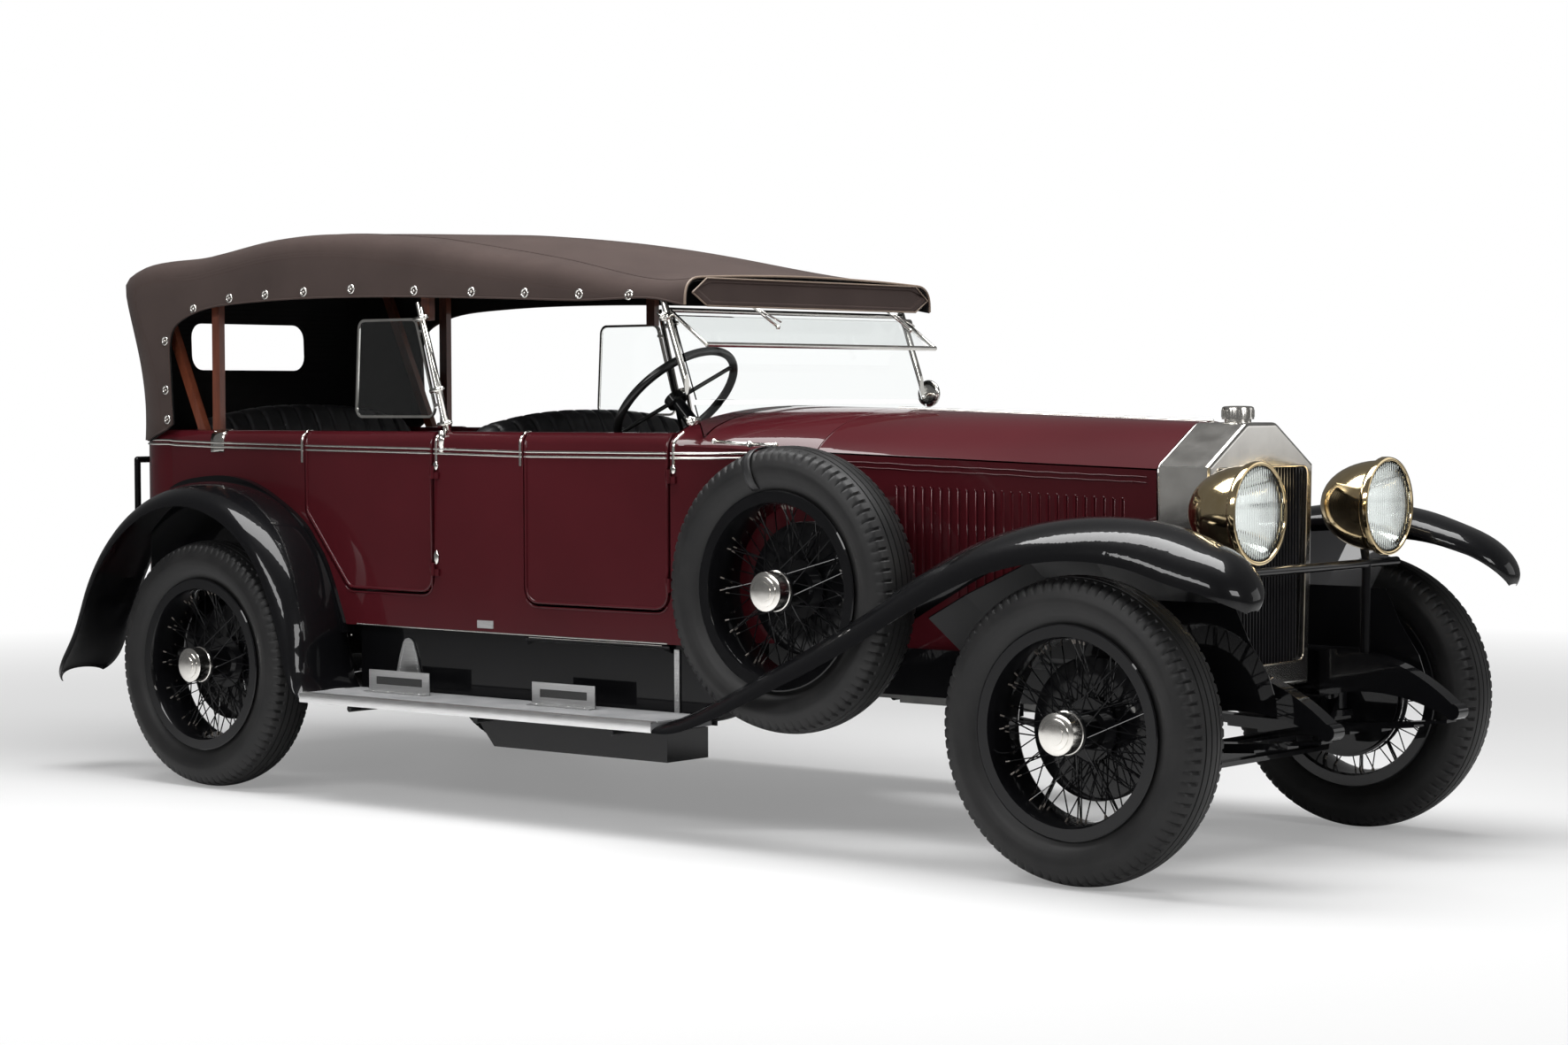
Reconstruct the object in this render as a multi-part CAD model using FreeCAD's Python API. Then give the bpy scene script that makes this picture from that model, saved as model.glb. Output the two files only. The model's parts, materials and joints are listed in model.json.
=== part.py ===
import FreeCAD, Part
import math
import os

# A large open touring car of the 1920s: four seats, four doors, wire wheels, folding hood.
# Millimetres. +X points to the nose, +Y to the car's left, +Z up.
# The origin is on the ground, at the middle of the car's box.
# The two sides mirror each other, apart from the right-hand steering and the spare wheel.

Vector = FreeCAD.Vector
ORIGIN = Vector(0, 0, 0)
ALONG_X = Vector(1, 0, 0)
ALONG_Y = Vector(0, 1, 0)
ALONG_Z = Vector(0, 0, 1)
FULL_TURN = 360
RIGHT = -1
LEFT = 1

# Whole car
wheelbase = 3700.0
front_overhang = 580.0
rear_overhang = 837.0
rest_gap = 0.3
overrun = 20.0

# Wheels and tyres
tyre_radius = 437.0
tyre_width = 188.0
tyre_shoulder_drop = 15.0
tyre_tread_width = 144.0
bead_radius = 283.0
bead_width = 120.0
rim_inner_radius = 268.0
rim_flange_radius = 304.0
rim_flange = 6.0
rim_lip_width = 12.0
hub_radius = 50.0
hub_flange_radius = 64.0
hub_inner_flange_radius = 90.0
hub_flange = 8.0
hub_flange_place = 62.0
hub_inner_flange_place = 42.0
hub_cap_radius = 60.0
hub_cap_length = 66.0
hub_cap_step = 9.0
hub_cap_crown = 18.0
spoke_pairs = 10
spoke_size = 5.0
spoke_rake = 26.0
spoke_rim_offset = 22.0
drum_radius = 205.0
drum_wall = 9.0
drum_web = 18.0
drum_inner_place = 105.0
stub_radius = 25.0
bearing_clearance = 0.05

# Chassis frame
frame_top_z = 600.0
rail_height = 146.0
rail_flange = 60.0
rail_wall = 6.0
rail_front_y = 368.0
rail_rear_y = 455.0
rail_bend_front_ahead = 1350.0
rail_taper_length = 450.0
kick_height = 98.0
kick_half_length = 330.0
kick_ramp = 260.0
hanger_length = 50.0
dumb_iron_tip_z = 434.0
dumb_iron_eye_radius = 24.0
dumb_iron_length = 470.0
dumb_iron_heel = 104.0
frame_tail = 630.0
cross_tube_radius = 26.0
front_cross_behind = 30.0
crank_bore_radius = 15.0
crank_boss_radius = 24.0
crank_boss_length = 60.0

# Springs and axles
spring_y_rear = 545.0
spring_y_front = 368.0
spring_width = 60.0
spring_leaves = 5
leaf_thickness = 9.0
spring_pad_lap = 18.0
front_spring_half = 540.0
rear_spring_half = 640.0
rear_spring_camber = 75.0
front_beam_z = 300.0
beam_height = 62.0
beam_width = 54.0
beam_web = 14.0
beam_drop_y = 540.0
kingpin_y = 630.0
kingpin_radius = 14.0
kingpin_eye_radius = 36.0
kingpin_eye_height = 90.0
kingpin_neck_drop = 22.5
knuckle_gap = 5.0
knuckle_lug = 20.0
backplate_radius = 195.0
backplate_thickness = 6.0
backplate_gap = 5.0
track_arm_length = 180.0
track_arm_width = 30.0
track_rod_radius = 13.0
track_rod_pad_radius = 22.0
axle_tube_radius = 46.0
differential_radius = 148.0
differential_width = 260.0

# Engine, gearbox and drive
engine_behind = 250.0
engine_length = 880.0
engine_width = 300.0
engine_top_z = 1080.0
sump_z = 400.0
gearbox_length = 520.0
gearbox_width = 260.0
gearbox_height = 170.0
torque_tube_radius = 44.0
torque_tube_z = 500.0
exhaust_y = 285.0
exhaust_radius = 28.0
silencer_radius = 78.0
silencer_length = 760.0
exhaust_z = 470.0
tank_ahead_of_tail = 210.0
tank_length = 270.0
tank_z = 500.0
tank_radius = 88.0

# Body
body_bottom_z = 590.0
body_top_z = 1262.0
body_half_width = 650.0
body_rear_taper = 38.0
wheel_stand_out = 140.0
body_wall = 50.0
floor_thickness = 30.0
riser_ahead = 640.0
body_tail = 710.0
body_corner = 260.0
body_top_round = 38.0
body_shoulder_front = 1660.0
plate_z = 700.0
plate_bolt_width = 300.0
plate_bolt_height = 70.0
plate_bolt_radius = 4.0
scuttle_front_behind = 1245.0
screen_behind = 1564.0
dash_behind = 1640.0
dash_thickness = 26.0
dash_low_z = 1080.0
bulkhead_thickness = 40.0
bulkhead_lap = 80.0
belt_z = 1190.0

# Doors, measured behind the front axle and ahead of the rear axle
front_door_front_behind = 1660.0
front_door_rear_behind = 2306.0
front_door_low_z = 690.0
rear_door_front_ahead = 970.0
rear_door_rear_ahead = 304.0
rear_door_low_z = 708.0
rear_door_sill_ahead = 528.0
rear_door_arch_z = 968.0
door_gap = 8.0
door_corner = 60.0
hinge_out = 8.0
hinge_radius = 7.0
hinge_height = 22.0
hinge_foot = 66.0
hinge_head = 88.0
hinge_leaf = 26.0
hinge_bite = 1.5

# Scuttle and bonnet
scuttle_top_z = 1346.0
bonnet_rear_z = 1338.0
bonnet_front_z = 1298.0
bonnet_rear_half = 432.0
bonnet_front_half = 300.0
bonnet_shoulder_rear_z = 1200.0
bonnet_shoulder_front_z = 1158.0
bonnet_skin = 4.0
bonnet_gap = 9.0
bonnet_hinge_gap = 0.6
bonnet_hinge_radius = 5.0
shoulder_gap = 2.5
louvre_count = 26
louvre_length = 330.0
louvre_height = 8.0
louvre_top_drop = 90.0

# Radiator
radiator_back_behind = 60.0
radiator_front_ahead = 110.0
radiator_half_width = 298.0
radiator_flat_half = 85.0
radiator_shoulder_z = 1168.0
radiator_top_z = 1294.0
radiator_bottom_z = 500.0
radiator_low_half_share = 0.93
radiator_rim = 34.0
radiator_header = 130.0
radiator_apron = 70.0
radiator_window_round = 28.0
radiator_crown_round = 40.0
radiator_nose_round = 14.0
radiator_core_set_back = 24.0
slat_count = 34
slat_thickness = 5.0
slat_depth = 12.0
cap_radius = 46.0
cap_height = 38.0
cap_round = 9.0
cap_neck_radius = 38.0
cap_neck_height = 10.0

# Lamps
lamp_y = 374.0
lamp_z = 1040.0
lamp_front_ahead = 330.0
lamp_radius = 149.0
lamp_depth = 220.0
lamp_wall = 4.0
lamp_bowl_inset = 8.0
lamp_hollow_inset = 12.0
lamp_rim_depth = 26.0
lens_thickness = 5.0
lens_setback = 10.0
lens_edge_gap = 0.9
lamp_bar_z = 865.0
lamp_bar_radius = 14.0
lamp_bar_ahead = 250.0
lamp_bar_half = 560.0
lamp_stem_radius = 13.0

# Fenders, aprons and running boards
fender_stand_out = 240.0
fender_tuck = 46.0
fender_skin = 4.0
front_fender_rise = 116.0
rear_fender_rise = 76.0
front_lip_top_z = 917.0
rear_lip_top_z = 995.0
board_top_z = 368.0
board_thickness = 30.0
board_edge_round = 10.0
valance_thickness = 5.0
apron_y = 440.0
apron_low_z = 560.0
apron_high_z = 786.0
apron_thickness = 4.0

# Windscreen and wings
screen_top_share = 0.582
screen_rake = 147.0
screen_post_radius = 11.0
screen_bar_share = 0.236
screen_post_foot = 64.0
screen_post_head = 96.0
screen_frame = 16.0
visor_hinge_drop = 32.0
glass_thickness = 6.0
visor_drop = 96.0
visor_out = 150.0
visor_arm_radius = 6.0
wing_frame = 9.0
wing_frame_inset = 18.0
tonneau_post_ahead = 988.0
tonneau_post_top_share = 0.627
tonneau_post_lean = 126.0
tonneau_post_radius = 9.0
rear_wing_lift = 45.0
rear_wing_drop = 52.0
rear_wing_length = 428.0
wing_round = 34.0

# Hood
hood_half_width = 640.0
hood_thickness = 14.0
hood_front_behind = 1605.0
hood_tail = 740.0
hood_peak_z = 1960.0
hood_low_z = 1222.0
hood_shoulder_round = 70.0
hood_corner_tail = 571.0
bow_depth = 40.0
bow_thickness = 26.0
bow_side_inset = 40.0
roof_bow_drop = 60.0

# Seats
seat_side_gap = 17.0
front_seat_back_behind = 2680.0
front_seat_front_behind = 2010.0
rear_seat_back_ahead = -470.0
rear_seat_front_ahead = 210.0
cushion_top_z = 960.0
front_seat_top_z = 1290.0
rear_seat_top_z = 1330.0
rear_cushion_top_z = 980.0
seat_back_thickness = 150.0
seat_edge_round = 45.0

# Steering wheel and column
helm_y = -330.0
helm_z = 1365.0
helm_behind = 1920.0
helm_radius = 225.0
helm_rim_radius = 14.0
helm_rake = 45.0
column_radius = 22.0
column_length = 1080.0
steering_box_half = 60.0
steering_box_width = 90.0
helm_spokes = 4

# Spare wheel
spare_behind = 1092.0
spare_y = -740.0
spare_z = 790.0
spare_clearance = 12.0

# Tail rack
rack_tail = 790.0
rack_half_width = 500.0
rack_low_z = 566.0
rack_top_z = 1147.0
rack_radius = 12.0
rack_slats = 4

# Box under the frame
under_box_rear_behind = 2592.0
under_box_front_behind = 1723.0
under_box_low_z = 205.0
under_box_high_z = 305.0
under_box_outer_y = 600.0
under_box_inner_y = 400.0
under_box_slope = 90.0
under_box_strap = 40.0

# More sizes of small fittings
helm_hub_radius = 35.0
wing_clip_inset = 45.0
rear_wing_clip_length = 24.0
board_iron_radius = 11.0
board_room_height = 25.0
front_fender_reach = 1530.0
rear_fender_reach = 840.0
rear_skirt_y = 655.0
rear_skirt_depth = 51.0
rear_skirt_top_z = 1099.0
rear_skirt_low_z = 560.0
apron_nose_reach = 413.0
apron_nose_low_z = 517.0
rear_window_half = 290.0

# Shapes, as shares of the sizes above
quarter_arc_share = 1 - math.sqrt(0.5)
dumb_iron_knee_share = 0.5
dumb_iron_crown_share = 0.12
board_iron_shares = (0.12, 0.5, 0.88)
engine_bearer_shares = (0.1, 0.8)
under_box_strap_shares = (0.25, 0.75)
body_taper_share = 0.35
tail_corner_share = 0.75
tail_knee_share = 0.26
lamp_bowl_share = 0.62
louvre_run_share = 0.68
louvre_start_share = 0.24
bonnet_section_shares = (0.0, 0.5, 1.0)
seat_foot_share = 1.3
seat_head_share = 0.9
# (along from the rear, width towards the bonnet's, height towards the bonnet's)
scuttle_shares = ((0.0, 0.0, 0.0), (0.25, 0.1, 0.25), (0.6, 0.5, 0.6), (1.0, 1.0, 1.0))
# crowned tops: (half width where the flat ends, half width of the roll, height of the roll)
scuttle_crown_shares = (0.50, 0.95, 0.60)
bonnet_rear_crown_shares = (0.45, 0.85, 0.55)
radiator_crown_shares = (0.40, 0.67, 0.44)
# lips of the fenders: (ahead of the axle over the reach, height over the board's share,
# rise share, inner edge share, outer edge share)
front_lip_shares = (
    (-1.0, 0.0, 0.26, 0.0, 1.0),
    (-0.88, 0.055, 0.60, 0.0, 1.0),
    (-0.70, 0.255, 0.80, 0.0, 1.0),
    (-0.52, 0.475, 0.90, 0.0, 1.0),
    (-0.35, 0.715, 0.95, 0.0, 1.0),
    (-0.20, 0.895, 1.0, 0.0, 1.0),
    (-0.07, 0.98, 1.0, 0.0, 1.0),
    (0.05, 1.0, 1.0, 0.0, 1.0),
    (0.15, 0.965, 1.02, 0.0, 1.0),
    (0.23, 0.905, 0.98, 0.03, 1.0),
    (0.285, 0.868, 0.84, 0.11, 0.97),
    (0.322, 0.832, 0.60, 0.22, 0.90),
    (0.342, 0.80, 0.34, 0.35, 0.78),
    (0.350, 0.775, 0.12, 0.47, 0.66),
)
front_fender_pole_shares = ((0.0, 0.52), (0.0, 1.27), (1.0, 1.27), (1.0, 0.0))
rear_lip_shares = (
    (-0.955, -0.01, 0.72, 0.14, 0.86),
    (-0.92, 0.03, 0.84, 0.03, 0.97),
    (-0.82, 0.20, 0.95, 0.0, 1.0),
    (-0.71, 0.48, 1.0, 0.0, 1.0),
    (-0.58, 0.72, 1.0, 0.0, 1.0),
    (-0.40, 0.90, 1.0, 0.0, 1.0),
    (-0.20, 0.99, 1.0, 0.0, 1.0),
    (0.0, 0.99, 1.0, 0.0, 1.0),
    (0.20, 0.90, 1.0, 0.0, 1.0),
    (0.37, 0.72, 1.0, 0.0, 1.0),
    (0.48, 0.48, 0.95, 0.0, 1.0),
    (0.535, 0.28, 0.80, 0.0, 1.0),
    (0.585, 0.09, 0.55, 0.0, 1.0),
    (0.66, 0.0, 0.36, 0.0, 1.0),
)
rear_fender_pole_shares = ((0.0, 0.75), (0.12, 1.33), (1.0, 1.33), (1.0, 0.0))
# (ahead of the axle over the fender's reach, height over the board)
rear_skirt_shares = (
    (-0.62, 0.70),
    (-0.42, 0.965),
    (-0.29, 0.99),
    (-0.14, 1.0),
    (0.04, 0.968),
    (0.22, 0.882),
    (0.398, 0.75),
    (0.50, 0.605),
    (0.568, 0.445),
    (0.617, 0.31),
)
apron_seat_share = 0.30
apron_crest_share = 0.25
apron_shares = (-0.44, -0.35, -0.20, -0.07, 0.05, 0.15)
# (ahead of the front axle over the reach, height)
apron_nose_shares = (
    (0.35, 1.0), (0.68, 1.0), (0.80, 0.62), (0.954, 0.27), (1.0, 0.07), (0.92, 0.0), (0.54, 0.07),
)
# (along the roof from the tail, height of the crown and of the shoulders above the hood's bottom)
roof_shares = (
    (0.0, 0.770, 0.741),
    (0.031, 0.865, 0.850),
    (0.06, 0.897, 0.877),
    (0.146, 0.914, 0.895),
    (0.277, 0.993, 0.968),
    (0.51, 1.0, 0.954),
    (0.662, 0.960, 0.861),
    (0.793, 0.893, 0.784),
    (0.943, 0.778, 0.690),
    (1.0, 0.725, 0.702),
)
roof_roll_share = 0.15
# (height from the hood's low edge, reach of the tail, corner over the corner's distance)
hood_tail_shares = (
    (0.0, 0.982, 0.43),
    (0.21, 0.982, 0.43),
    (0.46, 0.987, 0.33),
    (0.755, 1.0, 0.16),
    (1.03, 1.0, 0.16),
)
# (ahead of the rear axle over the wheelbase, height from the hood's bottom)
hood_edge_shares = (
    (-0.1105, 0.018),
    (-0.1138, 0.299),
    (-0.1143, 0.447),
    (-0.1065, 0.536),
    (-0.0849, 0.592),
    (-0.0508, 0.632),
    (0.0076, 0.652),
    (0.0886, 0.662),
    (0.2051, 0.656),
    (0.34, 0.632),
    (0.4416, 0.610),
    (0.52, 0.612),
    (0.555, 0.585),
    (0.58, 0.560),
)
rear_window_low_share = 0.313
rear_window_high_share = 0.582
rear_window_corner_share = 0.32
# (foot and top ahead of the rear axle over the wheelbase)
bow_shares = ((-0.062, -0.062), (-0.084, -0.173))
roof_bow_share = 0.234

# Places worked out from the sizes above
nose_x = (front_overhang + wheelbase + rear_overhang) / 2
front_axle_x = nose_x - front_overhang
rear_axle_x = front_axle_x - wheelbase
axle_z = tyre_radius
wheel_y = body_half_width + wheel_stand_out
body_rear_half_width = body_half_width - body_rear_taper
fender_outer_y = body_half_width + fender_stand_out
fender_inner_y = body_half_width - fender_tuck
board_inner_y = fender_inner_y
floor_z = frame_top_z
rear_floor_z = frame_top_z + kick_height
hood_bottom_z = body_top_z + rest_gap
screen_base_z = body_top_z
screen_top_z = body_top_z + (hood_peak_z - body_top_z) * screen_top_share
screen_bar_z = screen_base_z + (screen_top_z - screen_base_z) * screen_bar_share
tonneau_post_top_z = body_top_z + (hood_peak_z - body_top_z) * tonneau_post_top_share
screen_half_width = hood_half_width - hood_thickness - screen_post_radius - rest_gap
tank_half_width = rail_rear_y - rail_flange / 2 - rest_gap
bonnet_bottom_z = frame_top_z + rest_gap
front_spring_seat = front_beam_z + beam_height / 2
front_spring_camber = (dumb_iron_tip_z - dumb_iron_eye_radius - rest_gap - front_spring_seat
                       - spring_leaves * leaf_thickness)
rear_spring_seat = axle_z - axle_tube_radius


def ahead_front(distance):
    return front_axle_x + distance


def ahead_rear(distance):
    return rear_axle_x + distance


def box(x_low, x_high, y_low, y_high, z_low, z_high):
    return Part.makeBox(x_high - x_low, y_high - y_low, z_high - z_low, Vector(x_low, y_low, z_low))


def closed_wire(points):
    return Part.makePolygon(points + [points[0]])


def prism_y(outline, y_low, y_high):
    wire = closed_wire([Vector(x, y_low, z) for x, z in outline])
    return Part.Face(wire).extrude(Vector(0, y_high - y_low, 0))


def prism_z(outline, z_low, z_high):
    wire = closed_wire([Vector(x, y, z_low) for x, y in outline])
    return Part.Face(wire).extrude(Vector(0, 0, z_high - z_low))


def prism_x(outline, x_low, x_high):
    wire = closed_wire([Vector(x_low, y, z) for y, z in outline])
    return Part.Face(wire).extrude(Vector(x_high - x_low, 0, 0))


def rod(start, end, radius):
    run = end.sub(start)
    return Part.makeCylinder(radius, run.Length, start, run)


def tube_path(points, radius):
    pieces = [rod(a, b, radius) for a, b in zip(points, points[1:])]
    joints = [Part.makeSphere(radius, p) for p in points[1:-1]]
    return fuse(pieces + joints)


def fuse(shapes):
    joined = shapes[0]
    if len(shapes) > 1:
        joined = joined.multiFuse(shapes[1:])
    return joined.removeSplitter()


def turned_y(outline, x, z):
    # outline holds (radius, y) pairs
    wire = closed_wire([Vector(x + radius, y, z) for radius, y in outline])
    return Part.Face(wire).revolve(Vector(x, 0, z), ALONG_Y, FULL_TURN)


def mirrored(shape):
    return shape.mirror(ORIGIN, ALONG_Y)


def both_sides(shape):
    return [mirrored(shape), shape]


def save(node, shapes):
    shape = shapes[0] if len(shapes) == 1 else Part.makeCompound(shapes)
    shape.exportStep("parts/" + node + ".step")


def blend(low, high, share):
    return low + (high - low) * share


def blend_all(lows, highs, share):
    return [blend(low, high, share) for low, high in zip(lows, highs)]


# Wheels

def tyre_solid():
    # a closed ring about the Y axis, round in the tread and bulged in the walls
    half_tread = tyre_tread_width / 2
    half_width = tyre_width / 2
    half_bead = bead_width / 2 + rim_flange - rest_gap
    shoulder = tyre_radius - tyre_shoulder_drop
    rim_edge = rim_flange_radius + rim_flange / 2
    waist = (shoulder + rim_edge) / 2

    def at(radius, y):
        return Vector(radius, y, 0)

    tread = Part.Arc(at(shoulder, -half_tread), at(tyre_radius, 0), at(shoulder, half_tread))
    left_wall = Part.Arc(at(shoulder, half_tread), at(waist, half_width), at(rim_edge, half_bead))
    left_foot = Part.LineSegment(at(rim_edge, half_bead), at(bead_radius, half_bead))
    bead = Part.LineSegment(at(bead_radius, half_bead), at(bead_radius, -half_bead))
    right_foot = Part.LineSegment(at(bead_radius, -half_bead), at(rim_edge, -half_bead))
    right_wall = Part.Arc(at(rim_edge, -half_bead), at(waist, -half_width), at(shoulder, -half_tread))
    edges = (tread, left_wall, left_foot, bead, right_foot, right_wall)
    wire = Part.Wire([edge.toShape() for edge in edges])
    return Part.Face(wire).revolve(ORIGIN, ALONG_Y, FULL_TURN)


def rim_solid():
    seat = bead_radius - rest_gap
    half = bead_width / 2 + rim_flange
    outline = [
        (rim_flange_radius, -half - rim_flange),
        (rim_flange_radius, -half - rim_lip_width),
        (rim_inner_radius, -half - rim_lip_width),
        (rim_inner_radius - rim_flange, -half),
        (rim_inner_radius - rim_flange, half),
        (rim_inner_radius, half + rim_lip_width),
        (rim_flange_radius, half + rim_lip_width),
        (rim_flange_radius, half + rim_flange),
        (seat, half),
        (seat, -half),
    ]
    return turned_y(outline, 0, 0)


def hub_solid():
    inner = -hub_inner_flange_place
    outer = hub_flange_place
    bore = stub_radius + bearing_clearance
    cap_end = outer + hub_flange + hub_cap_length
    outline = [
        (bore, -drum_inner_place),
        (hub_radius, -drum_inner_place),
        (hub_radius, inner - hub_flange),
        (hub_inner_flange_radius, inner - hub_flange),
        (hub_inner_flange_radius, inner),
        (hub_radius, inner),
        (hub_radius, outer),
        (hub_flange_radius, outer),
        (hub_flange_radius, outer + hub_flange),
        (hub_cap_radius, outer + hub_flange),
        (hub_cap_radius, cap_end - hub_cap_crown),
        (hub_cap_radius - hub_cap_step, cap_end - hub_cap_step),
        (hub_cap_radius - hub_cap_crown, cap_end),
        (0, cap_end),
        (0, outer),
        (bore, outer),
    ]
    return turned_y(outline, 0, 0)


def drum_solid():
    web = -hub_inner_flange_place - hub_flange
    outline = [
        (hub_radius, web - drum_wall),
        (drum_radius, web - drum_wall),
        (drum_radius, -drum_inner_place),
        (drum_radius - drum_wall, -drum_inner_place),
        (drum_radius - drum_wall, web - drum_web),
        (hub_radius, web - drum_web),
    ]
    return turned_y(outline, 0, 0)


def spoke(angle, lean, hub_place, hub_reach, rim_place):
    start_angle = math.radians(angle)
    end_angle = math.radians(angle + lean)
    reach = rim_inner_radius - rim_flange / 2
    start = Vector(hub_reach * math.cos(start_angle), hub_place, hub_reach * math.sin(start_angle))
    end = Vector(reach * math.cos(end_angle), rim_place, reach * math.sin(end_angle))
    run = end.sub(start)
    half = spoke_size / 2
    outline = [Vector(-half, -half, 0), Vector(half, -half, 0), Vector(half, half, 0), Vector(-half, half, 0)]
    bar = Part.Face(closed_wire(outline)).extrude(Vector(0, 0, run.Length))
    bar.Placement = FreeCAD.Placement(start, FreeCAD.Rotation(ALONG_Z, run))
    return bar


def wire_wheel_solid():
    bars = []
    step = FULL_TURN / spoke_pairs
    for pair in range(spoke_pairs):
        for lean in (-spoke_rake, spoke_rake):
            outer_angle = pair * step
            inner_angle = outer_angle + step / 2
            outer_place = hub_flange_place + hub_flange / 2
            inner_place = -hub_inner_flange_place - hub_flange / 2
            outer_reach = hub_flange_radius - hub_flange
            inner_reach = hub_inner_flange_radius - hub_flange
            bars.append(spoke(outer_angle, lean, outer_place, outer_reach, -spoke_rim_offset))
            bars.append(spoke(inner_angle, lean, inner_place, inner_reach, spoke_rim_offset))
    return fuse([rim_solid(), hub_solid(), drum_solid()] + bars)


def placed_wheel(shape, x, y, z, side):
    turned = shape if side == LEFT else mirrored(shape)
    moved = turned.copy()
    moved.translate(Vector(x, y, z))
    return moved


def save_wheels():
    tyre = tyre_solid()
    wheel = wire_wheel_solid()
    places = {
        "front_right": (front_axle_x, RIGHT * wheel_y, axle_z, RIGHT),
        "front_left": (front_axle_x, LEFT * wheel_y, axle_z, LEFT),
        "rear_right": (rear_axle_x, RIGHT * wheel_y, axle_z, RIGHT),
        "rear_left": (rear_axle_x, LEFT * wheel_y, axle_z, LEFT),
        "spare": (ahead_front(-spare_behind), spare_y, spare_z, RIGHT),
    }
    for name, (x, y, z, side) in places.items():
        save("tyre_" + name, [placed_wheel(tyre, x, y, z, side)])
        save("wire_wheel_" + name, [placed_wheel(wheel, x, y, z, side)])


# Chassis frame

def rail_side_outline(inset):
    # seen from the side: straight, with a rise over the rear axle
    low = frame_top_z - rail_height + inset
    high = frame_top_z - inset
    front = ahead_front(front_overhang - dumb_iron_length)
    ramp_front = ahead_rear(kick_half_length + kick_ramp)
    kick_front = ahead_rear(kick_half_length)
    tail = ahead_rear(-frame_tail)
    return [
        (front, low),
        (front, high),
        (ramp_front, high),
        (kick_front, high + kick_height),
        (tail, high + kick_height),
        (tail, low + kick_height),
        (kick_front, low + kick_height),
        (ramp_front, low),
    ]


def rail_plan_outline(inner_shift, outer_shift):
    # seen from above: narrow at the nose, wider from the middle back
    front = ahead_front(front_overhang - dumb_iron_length)
    bend_front = ahead_front(-rail_bend_front_ahead)
    bend_rear = bend_front - rail_taper_length
    tail = ahead_rear(-frame_tail)
    half = rail_flange / 2
    near = -half + inner_shift
    far = half + outer_shift
    return [
        (front, rail_front_y + near),
        (bend_front, rail_front_y + near),
        (bend_rear, rail_rear_y + near),
        (tail, rail_rear_y + near),
        (tail, rail_rear_y + far),
        (bend_rear, rail_rear_y + far),
        (bend_front, rail_front_y + far),
        (front, rail_front_y + far),
    ]


def dumb_iron():
    # the frame's curved nose, down to the spring's front eye
    root = ahead_front(front_overhang - dumb_iron_length)
    tip_x = nose_x - dumb_iron_eye_radius
    high = frame_top_z
    low = frame_top_z - rail_height
    mid_x = blend(root, tip_x, dumb_iron_knee_share)

    def at(x, z):
        return Vector(x, rail_front_y - rail_flange / 2, z)

    crown = blend(high, dumb_iron_tip_z, dumb_iron_crown_share)
    belly = crown - dumb_iron_heel
    top = Part.BSplineCurve()
    top.interpolate([at(root, high), at(mid_x, crown), at(tip_x, dumb_iron_tip_z + dumb_iron_eye_radius)])
    under = Part.BSplineCurve()
    under.interpolate([at(tip_x, dumb_iron_tip_z - dumb_iron_eye_radius), at(mid_x, belly), at(root, low)])
    ends = [
        Part.LineSegment(at(tip_x, dumb_iron_tip_z + dumb_iron_eye_radius),
                         at(tip_x, dumb_iron_tip_z - dumb_iron_eye_radius)),
        Part.LineSegment(at(root, low), at(root, high)),
    ]
    wire = Part.Wire([top.toShape(), ends[0].toShape(), under.toShape(), ends[1].toShape()])
    blade = Part.Face(wire).extrude(Vector(0, rail_flange, 0))
    eye_start = Vector(tip_x, rail_front_y - rail_flange / 2, dumb_iron_tip_z)
    eye = Part.makeCylinder(dumb_iron_eye_radius, rail_flange, eye_start, ALONG_Y)
    return fuse([blade, eye])


def side_rail():
    reach = rail_rear_y + rail_flange
    solid = prism_y(rail_side_outline(0), 0, reach).common(
        prism_z(rail_plan_outline(0, 0), 0, body_top_z))
    pocket = prism_y(rail_side_outline(rail_wall), 0, reach).common(
        prism_z(rail_plan_outline(-overrun, -rail_wall), 0, body_top_z))
    return solid.cut(pocket)


def cross_member(x, half_length, z, radius):
    return rod(Vector(x, -half_length, z), Vector(x, half_length, z), radius)


def front_hanger():
    # the block on the rail that the front spring's rear end slides under
    x = front_axle_x - front_spring_half
    half = rail_flange / 2
    low = dumb_iron_tip_z - dumb_iron_eye_radius
    return box(x - hanger_length / 2, x + hanger_length / 2, rail_front_y - half, rail_front_y + half,
               low, frame_top_z - rail_height + rail_wall / 2)


def rear_hangers():
    # blocks outside the rails, over the ends of the rear springs
    low = rear_spring_seat + rear_spring_camber + rest_gap
    high = body_bottom_z - rest_gap
    inner = rail_rear_y + rail_flange / 2 - rail_wall / 2
    outer = spring_y_rear + spring_width / 2
    blocks = []
    for place in (-rear_spring_half, rear_spring_half):
        x = ahead_rear(place)
        blocks.append(box(x - hanger_length / 2, x + hanger_length / 2, inner, outer, low, high))
    return blocks


def board_irons():
    # arms from the rails that carry the running boards
    front = ahead_front(-front_fender_reach)
    rear = ahead_rear(kick_half_length + kick_ramp)
    low = board_top_z - board_thickness - rest_gap - board_iron_radius
    irons = []
    for share in board_iron_shares:
        x = blend(rear, front, share)
        path = [Vector(x, rail_rear_y, frame_top_z - rail_height + rail_wall),
                Vector(x, board_inner_y - overrun, low),
                Vector(x, fender_outer_y - overrun, low)]
        irons.append(tube_path(path, board_iron_radius))
    return irons


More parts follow.
